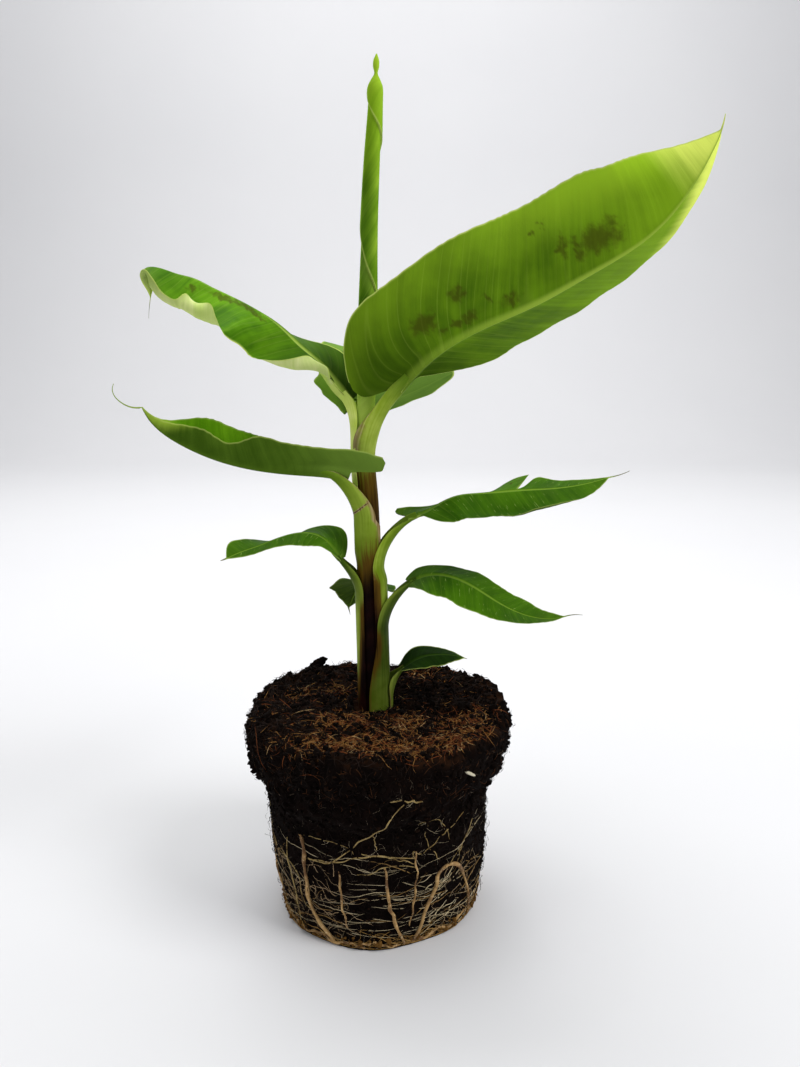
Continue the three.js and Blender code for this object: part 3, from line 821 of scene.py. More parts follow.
def drape(line, lift):
    """Pulls a line taut over the lumps: it touches the proud ones and spans the pits between them."""
    out = line * (1, 1, 0)
    pad = TAUT_STEPS // 2
    reach = np.pad(np.linalg.norm(out, axis=1), pad, "edge")
    rows = len(line)
    proudest = np.max(np.stack([reach[k : k + rows] for k in range(TAUT_STEPS)]), 0)
    smooth = np.convolve(np.pad(proudest, pad, "edge"), np.ones(TAUT_STEPS) / TAUT_STEPS, "valid")
    taut = unit(out) * (smooth + lift)[:, None]
    taut[:, 2] = line[:, 2]
    return taut


def root_walk(azimuth, height, heading, step, wander, top, dice):
    """Points of a root that creeps over the side."""
    line = []
    for _ in range(WALK_STEPS):
        height = min(max(height, LOWEST_ROOT), top)
        place, _ = side_hit(azimuth, height)
        line.append(place)
        reach = math.hypot(place[0], place[1])
        azimuth += math.degrees(step * math.cos(heading) / reach)
        height += step * math.sin(heading)
        heading += dice.normal(0, wander)
    return drape(np.array(line), ROOT_LIFT)


def grow_roots(name, radius, shades, starts, steps, wander, dice):
    """One joined piece of roots that set out from (azimuth, height, heading)."""
    top = max(start[1] for start in starts) + 6
    walks = [(*start, dice.uniform(*steps), wander, top, dice) for start in starts]
    lines = np.array([root_walk(*walk) for walk in walks])
    shape = np.linspace(1, 0.4, WALK_STEPS)[None]
    radii = radius * dice.uniform(0.5, 1.4, (len(lines), 1)) * shape
    dress(strands(name, lines, radii), "root", plain_finish(name, shades, 0.7, 0.2))


print("a fine root is walked in", WALK_STEPS, "steps")

# %% Grow the web
EVERYWHERE = [(0, 180)]
MATTED = [(-138, 16), (-118, 10), (-40, 12), (60, 20), (150, 20)]
BANDS = [(-90, 20), (-84, 16), (4, 22), (92, 22), (176, 22)]
STRAW = [(-47, 13), (-58, 8), (72, 14), (164, 16)]
# name, radius, two shades, (count, azimuths, lowest, highest, climb, spread), steps, wander
FINE_ROOTS = [
    ("fine_roots_pale", 0.17, "#a48d62", "#e6d8b4", (80, EVERYWHERE, 3, 70, 0, 0.25), (1.4, 3.4), 0.13),
    ("fine_roots_tan", 0.2, "#6d5028", "#b39058", (80, EVERYWHERE, 2, 60, 0, 0.4), (1.4, 3.4), 0.18),
    ("level_roots", 0.15, "#a08b62", "#e2d4b2", (56, BANDS, 10, 58, 0, 0.06), (1.2, 2.6), 0.05),
    ("matted_roots", 0.16, "#8a6a46", "#d6bd96", (190, MATTED, 2, 54, 0, 0.9), (0.7, 1.9), 0.4),
    ("straw_roots", 0.3, "#b0965f", "#ece2c2", (60, STRAW, 10, 52, 0.6, 0.3), (0.4, 1.0), 0.12),
    ("foot_roots", 0.27, "#6a4a22", "#bf9854", (170, EVERYWHERE, 0, 8, 0, 0.3), (1.0, 2.8), 0.25),
]


def set_out(count, places, low, high, climb, spread, dice):
    """Places and headings of roots near some azimuths, more of them low down than high up."""
    starts = []
    for _ in range(count):
        middle, reach = places[dice.integers(len(places))]
        height = low + (high - low) * dice.beta(1.0, 1.4)
        heading = dice.choice([0, math.pi]) + climb + dice.normal(0, spread)
        starts.append((dice.uniform(middle - reach, middle + reach), height, heading))
    return starts


dice = np.random.default_rng(31)
for name, radius, dark, light, start, steps, wander in FINE_ROOTS:
    grow_roots(name, radius, (dark, light), set_out(*start, dice), steps, wander, dice)

# %% [markdown]
# ## Thick roots
# Ten stout roots run down the side, as thick as string, knobbly and tan. Thinner ones cross them and
# lie round the foot, and fine hairs stand off them all. The plain model has a smooth tube for each
# stout root. Here each one is a wrapped skin whose radius swells at random and whose path sits on the
# rough peat. A path is a list of turns round the ball and heights that were read from the photograph
# at the front and made up at the back.

# %% Thick root finish
def bark_finish(name, dark, light, worn):
    bark = Finish(name, roughness=0.65, specular=0.2)
    spot = bark.place()
    blotch = bark.noise(spot, 120, detail=4)
    grain = bark.noise(spot, 700, detail=3)
    warm = bark.mix(dark, light, bark.fit(blotch, 0.32, 0.62))
    return bark.finish(bark.mix(warm, worn, bark.fit(grain, 0.54, 0.78)), height=grain)


root_finish = bark_finish("root_bark", "#66472b", "#b4905c", "#dfc89a")
thin_finish = bark_finish("thin_root_bark", "#6e572d", "#a9915c", "#d2bc8c")
print("root finishes:", root_finish.name, thin_finish.name)

# %% Grow the thick roots
ROOT_ROWS = 60
ROOT_COLUMNS = 10
ROOT_WANDER = 0.4
ROOT_KNOBS = (0.65, 1.2)
THICK_ROOTS = [
    (1.25, (-130.5, 71), (-129, 60), (-128.3, 40), (-125, 25), (-118.5, 9), (-113, 2.4)),
    (0.7, (-109, 53), (-108, 41), (-107.4, 27), (-105.7, 13)),
    (1.05, (-85.3, 57), (-83.7, 38), (-81.2, 21), (-75, 2.4)),
    (0.65, (-70.4, 66), (-69.8, 47), (-70.8, 30), (-72.4, 15)),
    (
        1.15, (-71, 2), (-65, 16), (-61.6, 34), (-59, 46), (-54, 52), (-46, 48), (-38, 35), (-33, 18),
        (-31, 3),
    ),
    (1.2, (10, 68), (13, 46), (20, 25), (24, 7)),
    (1.0, (62, 60), (58, 42), (53, 25), (49, 9)),
    (1.1, (86, 7), (89, 30), (97, 46), (107, 47), (114, 32), (118, 8)),
    (1.2, (150, 72), (148, 50), (142, 28), (138, 10)),
    (1.0, (186, 62), (188, 44), (193, 24), (196, 6)),
]


def root_skin(name, radius, path, dice):
    t = np.linspace(0, 1, ROOT_ROWS)
    azimuths = along([p[0] for p in path], t) + along(dice.normal(0, ROOT_WANDER, 14), t)
    heights = along([p[1] for p in path], t) + along(dice.normal(0, ROOT_WANDER, 14), t)
    ends = np.sin(np.clip(t, 0.004, 0.996) * np.pi) ** 0.16
    radii = radius * along(dice.uniform(*ROOT_KNOBS, 20), t) * ends
    hits = np.array([side_hit(a, max(z, 0.8))[0] for a, z in zip(azimuths, heights)])
    centre = drape(hits, 0.6 * radii)
    centre[:, 2] = np.maximum(heights, radii + 0.2)
    ahead = unit(np.gradient(centre, axis=0))
    side = unit(np.cross(ahead, unit(centre * (1, 1, 0))))
    proud = np.cross(side, ahead)
    turn = np.linspace(0, 2 * np.pi, ROOT_COLUMNS + 1)
    ring = side[:, None] * np.cos(turn)[:, None] + proud[:, None] * np.sin(turn)[:, None]
    return wrap(name, centre[:, None] + ring * radii[:, None, None], {})


dice = np.random.default_rng(41)
for i, (radius, *path) in enumerate(THICK_ROOTS):
    piece = root_skin(f"thick_root_{i + 1}", radius, path, dice)
    dress(piece, "root", root_finish, f"surface_root_{i + 1}")

# %% Roots that cross the others
THIN_ROOT = 0.6
CROSSING_ROOTS = [
    (0.45, (-79, 105), (-84, 96), (-90, 84), (-101, 71), (-114, 58), (-127, 55)),
    (0.5, (-84, 107), (-78, 107.5), (-72, 107)),
    (0.3, (-44, 85), (-53, 77), (-59, 72), (-67, 65), (-71.5, 66), (-70.5, 56)),
    (0.24, (-70, 86), (-62, 87), (-57, 81), (-53, 70)),
    (0.24, (-65, 84), (-66.5, 77), (-62, 64), (-57.5, 57)),
    (0.26, (-33, 70), (-43, 65), (-46.5, 50)),
    (0.24, (-36, 78), (-41, 66), (-52, 52)),
    (0.32, (-97, 67), (-85, 65), (-70.5, 58)),
    (0.26, (-128.5, 71), (-118, 71), (-109, 72), (-100, 67)),
    (0.4, (-127, 55), (-109, 60), (-93, 66), (-70, 62)),
    (0.34, (-100, 52), (-93, 53), (-85, 58), (-70, 56)),
    (0.24, (-90, 70), (-90.5, 76), (-91.5, 83)),
    (0.45, (-142, 62), (-142, 40), (-137, 22), (-136, 4)),
    (0.4, (-150, 52), (-137, 42), (-131, 26), (-124, 18)),
    (0.9, (-75, 2), (-69, 4), (-63, 2), (-54, 6), (-46, 3), (-39, 8), (-33, 9)),
    (0.8, (-140, 7), (-131, 3), (-122, 5), (-112, 2), (-103, 4), (-96, 1.5)),
    (0.7, (-101, 2), (-92, 6), (-86, 3), (-77, 2)),
    (0.8, (-34, 7), (-20, 2), (-6, 6), (6, 2), (18, 5), (32, 2), (46, 4)),
    (0.8, (44, 3), (58, 6), (72, 2.4), (86, 5), (100, 2), (114, 6), (126, 2.4)),
    (0.8, (122, 3), (136, 6), (150, 2), (168, 6), (184, 2), (204, 6), (222, 5)),
    (0.4, (20, 66), (42, 58), (60, 50), (80, 56)),
    (0.4, (110, 54), (130, 62), (150, 58), (170, 66)),
    (0.3, (180, 74), (196, 64), (206, 50), (214, 46)),
]
for i, (radius, *path) in enumerate(CROSSING_ROOTS):
    piece = root_skin(f"crossing_root_{i + 1}", radius, path, dice)
    dress(piece, "root", thin_finish if radius < THIN_ROOT else root_finish)

# %% Hairs that stand off the roots
HAIRS = 190


def off_roots(count, paths, dice):
    starts = []
    for _ in range(count):
        path = paths[dice.integers(len(paths))]
        t = np.array([dice.uniform(0, 1)])
        azimuth = along([p[0] for p in path], t)[0]
        height = along([p[1] for p in path], t)[0]
        starts.append((azimuth, height, dice.uniform(-math.pi, math.pi)))
    return starts


paths = [root[1:] for root in THICK_ROOTS + CROSSING_ROOTS]
starts = off_roots(HAIRS, paths, dice)
grow_roots("root_hairs", 0.08, ("#a8926a", "#eee2c4"), starts, (0.25, 0.9), 0.2, dice)

# %% [markdown]
# ## The leaves, described once
# Every leaf is a few numbers, read from its base to its tip: where its blade starts, how long it is,
# the headings, pitches and rolls of its midrib, its two halves and its dry tail. A half has a width,
# the fold at which it stands from the leaf's own plane, how far it curls on from there, how far its
# rim rolls up, and a trim for its outline. Left and right are those of someone who looks from the base
# to the tip. The sheath gives the layer, side, foot, height and spread of the leaf base on the stem,
# and the petiole gives the stalk's radius and how far it rises and reaches out. Wine and pale are read
# up the stalk, and skin says how they lean and where the margins redden and dry. Swell, parting, flare,
# meet, last, scar and ragged are the quirks of single leaves.

# %% How a half blade is written down
USUAL_HALF = dict(start=0, foot=0.42, shoulder=0.34, rise=2, tip=2.3, lobe=0.12, lobe_full=0.8)


def half(width, fold, curl=(0, 0), rim_roll=(0, 0), trim=(1, 1), **shape):
    whole = dict(width=width, fold=fold, curl=curl, rim_roll=rim_roll, trim=trim)
    return {**USUAL_HALF, **whole, **shape}


GROUND = BALL_HEIGHT
CORE_SHOULDER = 236
LEAVES = {}
print("a usual half blade:", USUAL_HALF)

# %% The two upper leaves
LEAVES["big_right"] = dict(
    base=(13.5, -14, 334.7),
    length=220.6,
    heading=(-16, -20, -18, -19, -21),
    pitch=(53, 32, 21, 28, 31, 54, 68),
    roll=(52, 47, 46, 38, 41),
    left=half(
        44.2, (17, 29, 34, 30, 32), start=0.03, foot=0, shoulder=0.25, rise=1.5, tip=2.61,
        lobe=-0.09, trim=(1, 1.06, 1.02, 1.03, 1.07, 1.01, 1.04, 1.3),
    ),
    right=half(
        46.9, (26, 25, 40, 16, 35), (5, 0, 0), foot=0.48, shoulder=0.11, tip=3.13, lobe=0.36,
        lobe_full=0.6, trim=(1.05, 0.93, 1, 1, 0.99, 1.09, 1.15, 0.91),
    ),
    tail=(7.5, (-20, -20), (75, 85)),
    sheath=(0, -36, CORE_SHOULDER, 294, 118),
    petiole=(4.4, 16, 18),
    wave=(0.5, 31),
    flare=(-8, 2.2, 304, 9),
    wine=(0.8, 0.8, 0.78, 0.72, 0.62, 0.46, 0.12, 0, 0, 0),
    pale=(0.1, 0.2, 0.4, 0.8, 0.9, 0.6, 0.2),
    skin=(0.04, 0, 0.7, 0.2, 8),
)
LEAVES["left_upper"] = dict(
    base=(-15.9, 2, 327.5),
    length=162.2,
    heading=(186, 190, 193, 190, 188),
    pitch=(53, 52, 54, 44, 42, 46, 40, 32, 29, 25, 24, 27, 12, 19, -8, -112, -97),
    roll=(-1, 8, 18, 23, 5),
    left=half(
        35.9, (-6, -4, -28, -6, -19, -17, -1), (-23, -26, -7, -17, -16),
        (0, 72, 224, 118, 48, -13, -26, 69, 236, 109, 135, 179, 83), start=0.09, foot=0,
        shoulder=0.22, rise=1.2, tip=3.83, lobe=-0.06,
        trim=(0.97, 1.21, 1.01, 1.05, 1.34, 1.1, 1.15, 1),
    ),
    right=half(
        30.9, (43, 6, -25, -34, -35), (7, -22, -30), foot=0.43, shoulder=0.31, tip=2.31,
        lobe=-0.01, trim=(1, 1.09, 0.99, 1, 1, 1, 1, 1),
    ),
    tail=(12, (200, 200), (-80, -86)),
    sheath=(0, 175, 274, 300, 58),
    petiole=(5.2, 14, 12),
    swell=(1.5, 258, 330),
    skin=(0, 0, 0, 0.62, 0),
    wave=(0.5, 34),
    wine=(0, 0, 0),
    # Pale all the way up: the young stalk's own colour, raised as painted light where it lies in shade.
    pale=(1, 1, 1, 1, 0.9),
)
print("leaves so far:", ", ".join(LEAVES))

# %% The two leaves at mid height
LEAVES["left_middle"] = dict(
    base=(-16.4, -14, 284.4),
    length=129.8,
    heading=(197, 191, 189, 193, 195),
    pitch=(14, 4, 6, 13, 23, 35, 62),
    roll=(7, -2),
    left=half(
        17.2, (57, 50, 54, 58, 37), (25, 30, 30, 30, 20), foot=0.7, shoulder=0.31, tip=1.68,
        lobe=1.06, lobe_full=0.4, trim=(1.11, 0.82, 0.93, 1.05, 0.6, 1.02, 1.07, 0.91),
    ),
    right=half(
        17.5, (62, 68, 61, 60, 12), (40, 40, 30, 20), start=0.02, foot=0.35, shoulder=0.49,
        tip=2.56, lobe=0.02, trim=(1.03, 0.71, 0.66, 0.89, 1.05, 1.25, 1.07, 0.84),
    ),
    tail=(24, (200, 198, 196, 190), (-8, 24, 55, 115)),
    sheath=(0, 205, GROUND, 256, 122),
    petiole=(4.2, 6, 14),
    last=0.45,
    meet=0.16,
    wave=(0.5, 27),
    wine=(1, 1, 1, 1, 0.95, 0.72, 0.45, 0.2, 0.03, 0, 0),
    pale=(0, 0, 0, 0.05, 0.2, 0.25, 0),
    skin=(0.08, 0, 0.7, 0.62, 0),
    parting=(98, 0.96),
    scar=(271.2, 0.83, 1.1),
)
LEAVES["right_middle"] = dict(
    base=(18.8, 0, 255.3),
    length=127,
    heading=(-7, -7, -4, -4, -4),
    pitch=(19, 33, 5, 5, 3, 10, 19),
    roll=(-43, -39, -39, -34, -30),
    left=half(
        20.8, (-21, -44, -58, -58, -31, -22, -23, -20, -18), foot=0.6, shoulder=0.36, tip=2.06,
        lobe=0.4,
        trim=(1.08, 0.92, 1.03, 0.99, 1.04, 1.03, 0.89, 1.02),
        tear=(0.55, 0.04, 0.13, 0.4, 0.14, 1.15),
    ),
    right=half(
        23.8, (10, 6, -4, 1, -6), (0, 0), (0, 0, 20, 50, 70, 70, 40, 0), start=0.06, foot=0,
        shoulder=0.28, tip=2.66, lobe=-0.08,
        trim=(0.95, 1.11, 0.96, 0.94, 1.02, 0.99, 1.07, 1.03),
    ),
    tail=(13, (-4, -4), (10, 26)),
    sheath=(1, 0, GROUND, 224, 74),
    swell=(1.7, 186, 215),
    petiole=(2.8, 13, 9),
    wave=(0.4, 22),
    wine=(0.8, 0.75, 0.5, 0.22, 0.06, 0, 0),
    pale=(0.1, 0.1, 0.15, 0.3, 0.3, 0.2),
    skin=(0, 0.6, 0.3, 0.62, 0),
)
print("leaves so far:", ", ".join(LEAVES))

# %% The two low leaves
LEAVES["left_low"] = dict(
    base=(-22.7, -4.1, 229.6),
    length=81,
    heading=(191, 190, 195, 193, 204),
    pitch=(61, 49, 12, -12, -22, -16, -24),
    roll=(9, 10),
    left=half(
        13.2, (-6, -11, -11, 2, -17), foot=0, shoulder=0.28, rise=1.3, tip=2.45, lobe=0.04,
        trim=(1, 1.01, 1.01, 1.07, 0.77, 1.04, 1.01, 1.04),
    ),
    right=half(
        21.6, (38, -9, -34, -8, 35), foot=0.12, shoulder=0.13, rise=1.5, tip=3.8, lobe=0.03,
        trim=(0.88, 1.04, 1.02, 0.99, 1, 1.01, 0.87, 1.39),
    ),
    tail=(4, (204, 204), (-20, -10)),
    sheath=(1, 183, GROUND, 206, 62),
    petiole=(2.7, 10, 8),
    wave=(0.4, 19),
    wine=(0.85, 0.7, 0.35, 0.1, 0, 0, 0),
    pale=(0.1, 0.3, 0.6, 0.6, 0.2, 0.05),
    skin=(0, 0.7, 0.3, 0.62, 0),
)
LEAVES["right_low"] = dict(
    base=(20, -4, 215.1),
    length=103.2,
    heading=(-13, -19, -18, -14, -12),
    pitch=(35, 6, -19, -30, -24, -7, 17),
    roll=(-22, -19),
    left=half(
        18.5, (4, -19, -10, -6, 0), foot=0.18, shoulder=0.25, tip=2.57, lobe=0.16,
        trim=(1.16, 0.7, 1.04, 1.01, 0.87, 1.08, 0.98, 1.06),
    ),
    right=half(
        20, (5, 2, 2, 16, 18), foot=0.23, shoulder=0.26, tip=2.17, lobe=0.03,
        trim=(1, 1.1, 1.03, 1.04, 0.97, 1.1, 0.9, 1),
    ),
    tail=(11, (-10, -10), (20, -4)),
    sheath=(2, -12, GROUND, 184, 88),
    parting=(56, 0.25),
    petiole=(2.7, 13, 8),
    wave=(0.4, 20),
    wine=(0.15, 0.05, 0.05, 0.15, 0.15, 0.05, 0),
    pale=(0.3, 0.22, 0.1, 0.05, 0.05, 0.05),
    skin=(0, 0.6, 0.2, 0.62, 0),
)
print("leaves so far:", ", ".join(LEAVES))

# %% Two leaves at the back and the small one at the foot
LEAVES["back_low"] = dict(
    base=(-5.5, 27, 206.5),
    length=52,
    heading=(106, 118, 125),
    pitch=(5, -8, -25, -39, -49, -57, -62),
    roll=(0, 0),
    left=half(
        20.3, (15, -1, -1, -5, -10), foot=0.61, tip=1.19, lobe=0.11,
        trim=(1, 1.01, 0.96, 1.06, 0.97, 1.02, 0.98, 1),
    ),
    right=half(21, (-26, -16, -8, -8, -10), foot=0.7, tip=1.3),
    tail=(6, (60, 30), (-70, -80)),
    sheath=(2, 100, GROUND, 178, 36),
    petiole=(2.5, 16, 9),
    wave=(0.4, 17),
    wine=(0.4, 0.3, 0.2, 0.1, 0.05, 0),
    pale=(0.2, 0.2, 0.2, 0.2, 0.1),
)
LEAVES["back_upper"] = dict(
    base=(-12.4, 12, 328.2),
    length=156.9,
    heading=(81, 81, 80, 78, 76),
    pitch=(48, 46, 12, 3, 0, -4, -8, -14, -20),
    roll=(1, 1),
    left=half(
        39.3, (21, -9, 14, 11, 10), (10, 0, 0), foot=0.14, shoulder=0.15, lobe=0.36,
        trim=(1.04, 0.65, 1, 1, 1, 1, 1, 1),
    ),
    right=half(
        46.6, (4, 1, 8, 10, 10), foot=0.44, shoulder=0.08, lobe=0.26,
        trim=(0.93, 1.25, 1.02, 1, 1, 1, 1, 1),
    ),
    tail=(10, (76, 76), (-24, -10)),
    sheath=(0, 100, CORE_SHOULDER, 287, 34),
    petiole=(2.1, 10, 10),
    ragged=0.9,
    wave=(0.7, 26),
    wine=(0.8, 0.5, 0.2, 0.05, 0),
    pale=(0.3, 0.5, 0.9, 1, 1),
)
LEAVES["lowest"] = dict(
    base=(14.8, 0, 156.5),
    length=44.1,
    heading=(6, 8, 6, 8, 9),
    pitch=(37, 31, 17, 3, -4, -13, -20),
    roll=(-14, -15),
    left=half(
        10.3, (-4, 3, -6, -9, -12), start=0.01, foot=0.37, shoulder=0.33, tip=2.23, lobe=0.09,
        trim=(0.97, 1.05, 0.96, 1.09, 0.93, 1.03, 0.98, 1),
    ),
    right=half(
        9.9, (11, -4, -9, -7, -3), start=0.01, foot=0.28, tip=2.26, lobe=0.06,
        trim=(0.96, 1, 1.01, 1.01, 1.04, 1.03, 0.98, 0.99),
    ),
    tail=(2, (8, 8), (-24, -20)),
    sheath=(3, 5, GROUND, 136, 34),
    petiole=(2.1, 9, 3),
    wave=(0.3, 13),
    wine=(0.1, 0.05, 0, 0),
    pale=(0.5, 0.4, 0.3, 0.2),
)
print("leaves so far:", ", ".join(LEAVES))

# %% [markdown]
# ## The false stem
# A banana's stem is no stem: it is the leaf bases, rolled round each other like a paper tube. Under
# them runs a core, dark wine red where the oldest bases have died back. It is a slim wrapped tube
# that leans a little as the photograph shows and goes down into the peat.

# %% Axis and core
STEM_LEAN = (-3.4, -5.4, -6.2, -4.1, 0.8)
CROWN_BEND = (-2.0, 296, 24)
PLANT_TOP = 521
CORE_TOP = 317
CORE_RADII = ((131, 6.8), (236, 6.3), (240, 5.7), (CORE_TOP, 5.0))
SUNK_FOOT = 124
CORE_GIRTH = 42
CORE_RIDGES = [(0.008, 5), (0.004, 23)]


def stem_axis(height):
    """Middle of the stem at a height: it leans, and bends a little at the crown."""
    height = np.asarray(height, float)
    lean = along(STEM_LEAN, (height - GROUND) / (PLANT_TOP - GROUND))
    shift, level, run = CROWN_BEND
    lean = lean + shift * np.exp(-(((height - level) / run) ** 2))
    return np.stack([lean, np.zeros_like(height), height], -1)


def core_radius(height):
    levels, radii = zip(*CORE_RADII)
    return np.interp(height, levels, radii)


def core_points(rows=90, columns=40):
    heights = np.linspace(SUNK_FOOT, CORE_TOP, rows)
    azimuth = np.linspace(0, 360, columns + 1)
    ridges = 1
    for depth, count in CORE_RIDGES:
        ridges = ridges + depth * np.sin(np.radians(count * azimuth))
    reach = core_radius(heights)[:, None] * ridges[None]
    return stem_axis(heights)[:, None] + direction(azimuth)[None] * reach[..., None]


print("core radius at the soil:", core_radius(GROUND), "mm")

# %% [markdown]
# ## Finish of stem and stalks
# Leaf bases are green with fine lengthwise veins, pale where they are young and wine red to nearly
# black where they are old, and their thin margins dry to a brown husk. Each mesh carries three marks
# at every point, wine, pale and dry, and the recipe mixes the paints by them. Streaky noise along the
# stalk breaks up the borders.

# %% Stalk finish
def stalk_finish(name, green, light, end_paint, pale_paints=("#94b126", "#c4d65e")):
    skin = Finish(name, roughness=0.5, specular=0.04)
    length, around, end = skin.marks("place")
    wine, pale, dry = skin.marks("mark")
    streaks = skin.noise(skin.join(skin.times(length, 0.03), around), 0.8, detail=3)
    veins = skin.noise(skin.join(skin.times(length, 0.004), around), 2.6, detail=2)
    cloud = skin.noise(skin.place(), 60, detail=3)
    fleck = skin.noise(skin.place(), 420, detail=2)
    tone = skin.fit(skin.blend((streaks, 0.4), (cloud, 0.6)), 0.3, 0.7)
    colour = skin.mix(green, light, tone)
    colour = skin.mix(colour, skin.mix(*pale_paints, tone), pale)
    colour = skin.mix(colour, end_paint, skin.times(end, 0.85))
    border = skin.fit(skin.blend((wine, 1.0), (streaks, 0.5)), 0.35, 1.2)
    blood = skin.mix("#0b0202", "#2b0f09", skin.fit(cloud, 0.35, 0.8))
    middle = skin.mix("#56400e", blood, skin.fit(border, 0.6, 1.0))
    colour = skin.mix(colour, middle, skin.fit(border, 0.05, 0.6))
    husk = skin.mix("#7a5b3a", "#bda67e", skin.fit(streaks, 0.35, 0.7))
    husk = skin.mix(husk, "#3b2309", skin.fit(dry, 0.74, 0.9))
    torn = skin.fit(skin.blend((dry, 1.0), (fleck, 0.4)), 0.4, 0.85, 0.0, 0.9)
    colour = skin.mix(colour, husk, torn)
    return skin.finish(colour, height=veins, depth=0.0003, strength=0.2)


green_stalk = stalk_finish("stalk_skin", "#4a650c", "#718e1c", "#587a18")
dark_stalk = stalk_finish("old_stalk_skin", "#23360a", "#465e16", "#3a5814")
# Painted light: the young stalk's pale and end paints are lifted above its own pale colour where it lies
# in shade.
young_lit_paints = ("#c4dc4c", "#f0fa98")
young_lit_stalk = stalk_finish("young_lit_stalk_skin", "#8fae34", "#b6d04c", "#c8de68", young_lit_paints)
print("stalk finishes:", green_stalk.name, dark_stalk.name, young_lit_stalk.name)

# %% Wrap the core
core = core_points()
heights = core[..., 2]
around = np.broadcast_to(np.linspace(0, CORE_GIRTH, core.shape[1])[None], heights.shape)
wine = 1 - 0.5 * ease(heights, 250, CORE_TOP)
pale = 0.3 * ease(heights, 280, CORE_TOP)
marks = {
    "place": np.stack([heights, around, 0 * heights], -1),
    "mark": np.stack([wine, pale, 0 * heights], -1),
}
dress(wrap("stem_core", core, marks), "stem_core", green_stalk, "pseudostem")

# %% [markdown]
# ## Leaf bases and stalks
# Each leaf base hugs the stem as a crescent in section, thick in the middle and thin at its margins,
# then parts from the stem and bends out as a grooved stalk. The bend is a Bezier curve from the place
# where it parts to the foot of the blade, and section after section is laid along that line. Some
# bases swell where the next one pushes from within, flare at the crown or draw in before they part.
# The marks for the finish are worked out with the sections. One base has a dry scar across it.

# %% Line of a midrib
LINE_STEPS = 600


def axes_of(heading, pitch, roll):
    """Ahead to the tip, above the upper face, and left, for arrays of angles."""
    rise = np.radians(pitch)[..., None]
    turn = np.radians(roll)[..., None]
    level = direction(heading)
    flat = direction(np.asarray(heading) + 90)
    up = np.array([0, 0, 1.0])
    ahead = level * np.cos(rise) + up * np.sin(rise)
    upright = up * np.cos(rise) - level * np.sin(rise)
    above = upright * np.cos(turn) + flat * np.sin(turn)
    left = flat * np.cos(turn) - upright * np.sin(turn)
    return ahead, above, left


def leaf_axes(leaf, t):
    return axes_of(along(leaf["heading"], t), along(leaf["pitch"], t), along(leaf["roll"], t))


def leaf_line(leaf, t):
    """Points of the midrib, walked from the base in small steps."""
    s = (np.arange(LINE_STEPS) + 0.5) / LINE_STEPS
    ahead, _, _ = leaf_axes(leaf, s)
    walk = np.vstack([np.zeros(3), np.cumsum(ahead, 0) * leaf["length"] / LINE_STEPS])
    at = np.linspace(0, 1, LINE_STEPS + 1)
    return np.array(leaf["base"]) + np.stack([np.interp(t, at, walk[:, k]) for k in range(3)], -1)


tip = leaf_line(LEAVES["big_right"], np.array([1.0]))[0]
print("tip of the large leaf:", tip.round(1), "mm")

# %% Sections of a stalk
GAP = 0.3
SHEATH_WALL = 1.25
SHEATH_EDGE = 0.3
SHEATH_WIDEN = 1.2
SHEATH_SUNK = 2.2
BLEND_RUN = 22
ARC_COLUMNS = 34


def sheath_radius(sheath, height):
    """Distance of the leaf base's ridge from the stem's axis, by its layer."""
    layer, _, start, _, _ = sheath
    core_part = core_radius(np.minimum(height, CORE_SHOULDER) if start == GROUND else height)
    widen = SHEATH_WIDEN * ease(height, CORE_SHOULDER - 12, CORE_SHOULDER - GAP)
    reach = core_part + (GAP + SHEATH_WALL) * (1 + layer) + (widen if start == GROUND else 0)
    sunk = 0 if start == GROUND else SHEATH_SUNK * (1 - ease(height, start - BLEND_RUN, start + 4))
    return reach - sunk


def crescents(ridge, ahead, azimuth, roll, radius, wall, spread):
    """Sections that are closed arcs, thin at both margins, one for each point of the ridge."""
    flat = direction(azimuth + 90)
    across = unit(flat - ahead * np.sum(flat * ahead, -1, keepdims=True))
    away = np.cross(across, ahead)
    turn = np.radians(roll)[:, None]
    out = away * np.cos(turn) - across * np.sin(turn)
    side = across * np.cos(turn) + away * np.sin(turn)
    share = np.linspace(-1, 1, ARC_COLUMNS + 1)[None, :, None]
    angle = np.radians(spread)[:, None, None] * share
    thin = np.maximum(SHEATH_EDGE, wall[:, None, None] * (1 - 0.75 * share**2))
    ray = out[:, None] * np.cos(angle) + side[:, None] * np.sin(angle)
    centre = (ridge - out * radius[:, None])[:, None]
    outer = centre + ray * radius[:, None, None]
    inner = centre + ray * (radius[:, None, None] - thin)
    return np.concatenate([outer, inner[:, ::-1], outer[:, :1]], 1)


def bezier(a, b, c, d, t):
    s = 1 - t
    place = a * s**3 + 3 * b * s**2 * t + 3 * c * s * t**2 + d * t**3
    ahead = 3 * (b - a) * s**2 + 6 * (c - b) * s * t + 3 * (d - c) * t**2
    return place, unit(ahead)


print("stalk sections have", 2 * ARC_COLUMNS + 2, "sides")

# %% Rows of a stalk
STEM_ROWS = 110
BEND_ROWS = 44
PETIOLE_WALL = 0.6
PETIOLE_SPREAD = 106
PARTING_SPREAD = 102
MEET = 0.045
LAST_RADIUS = 0.82


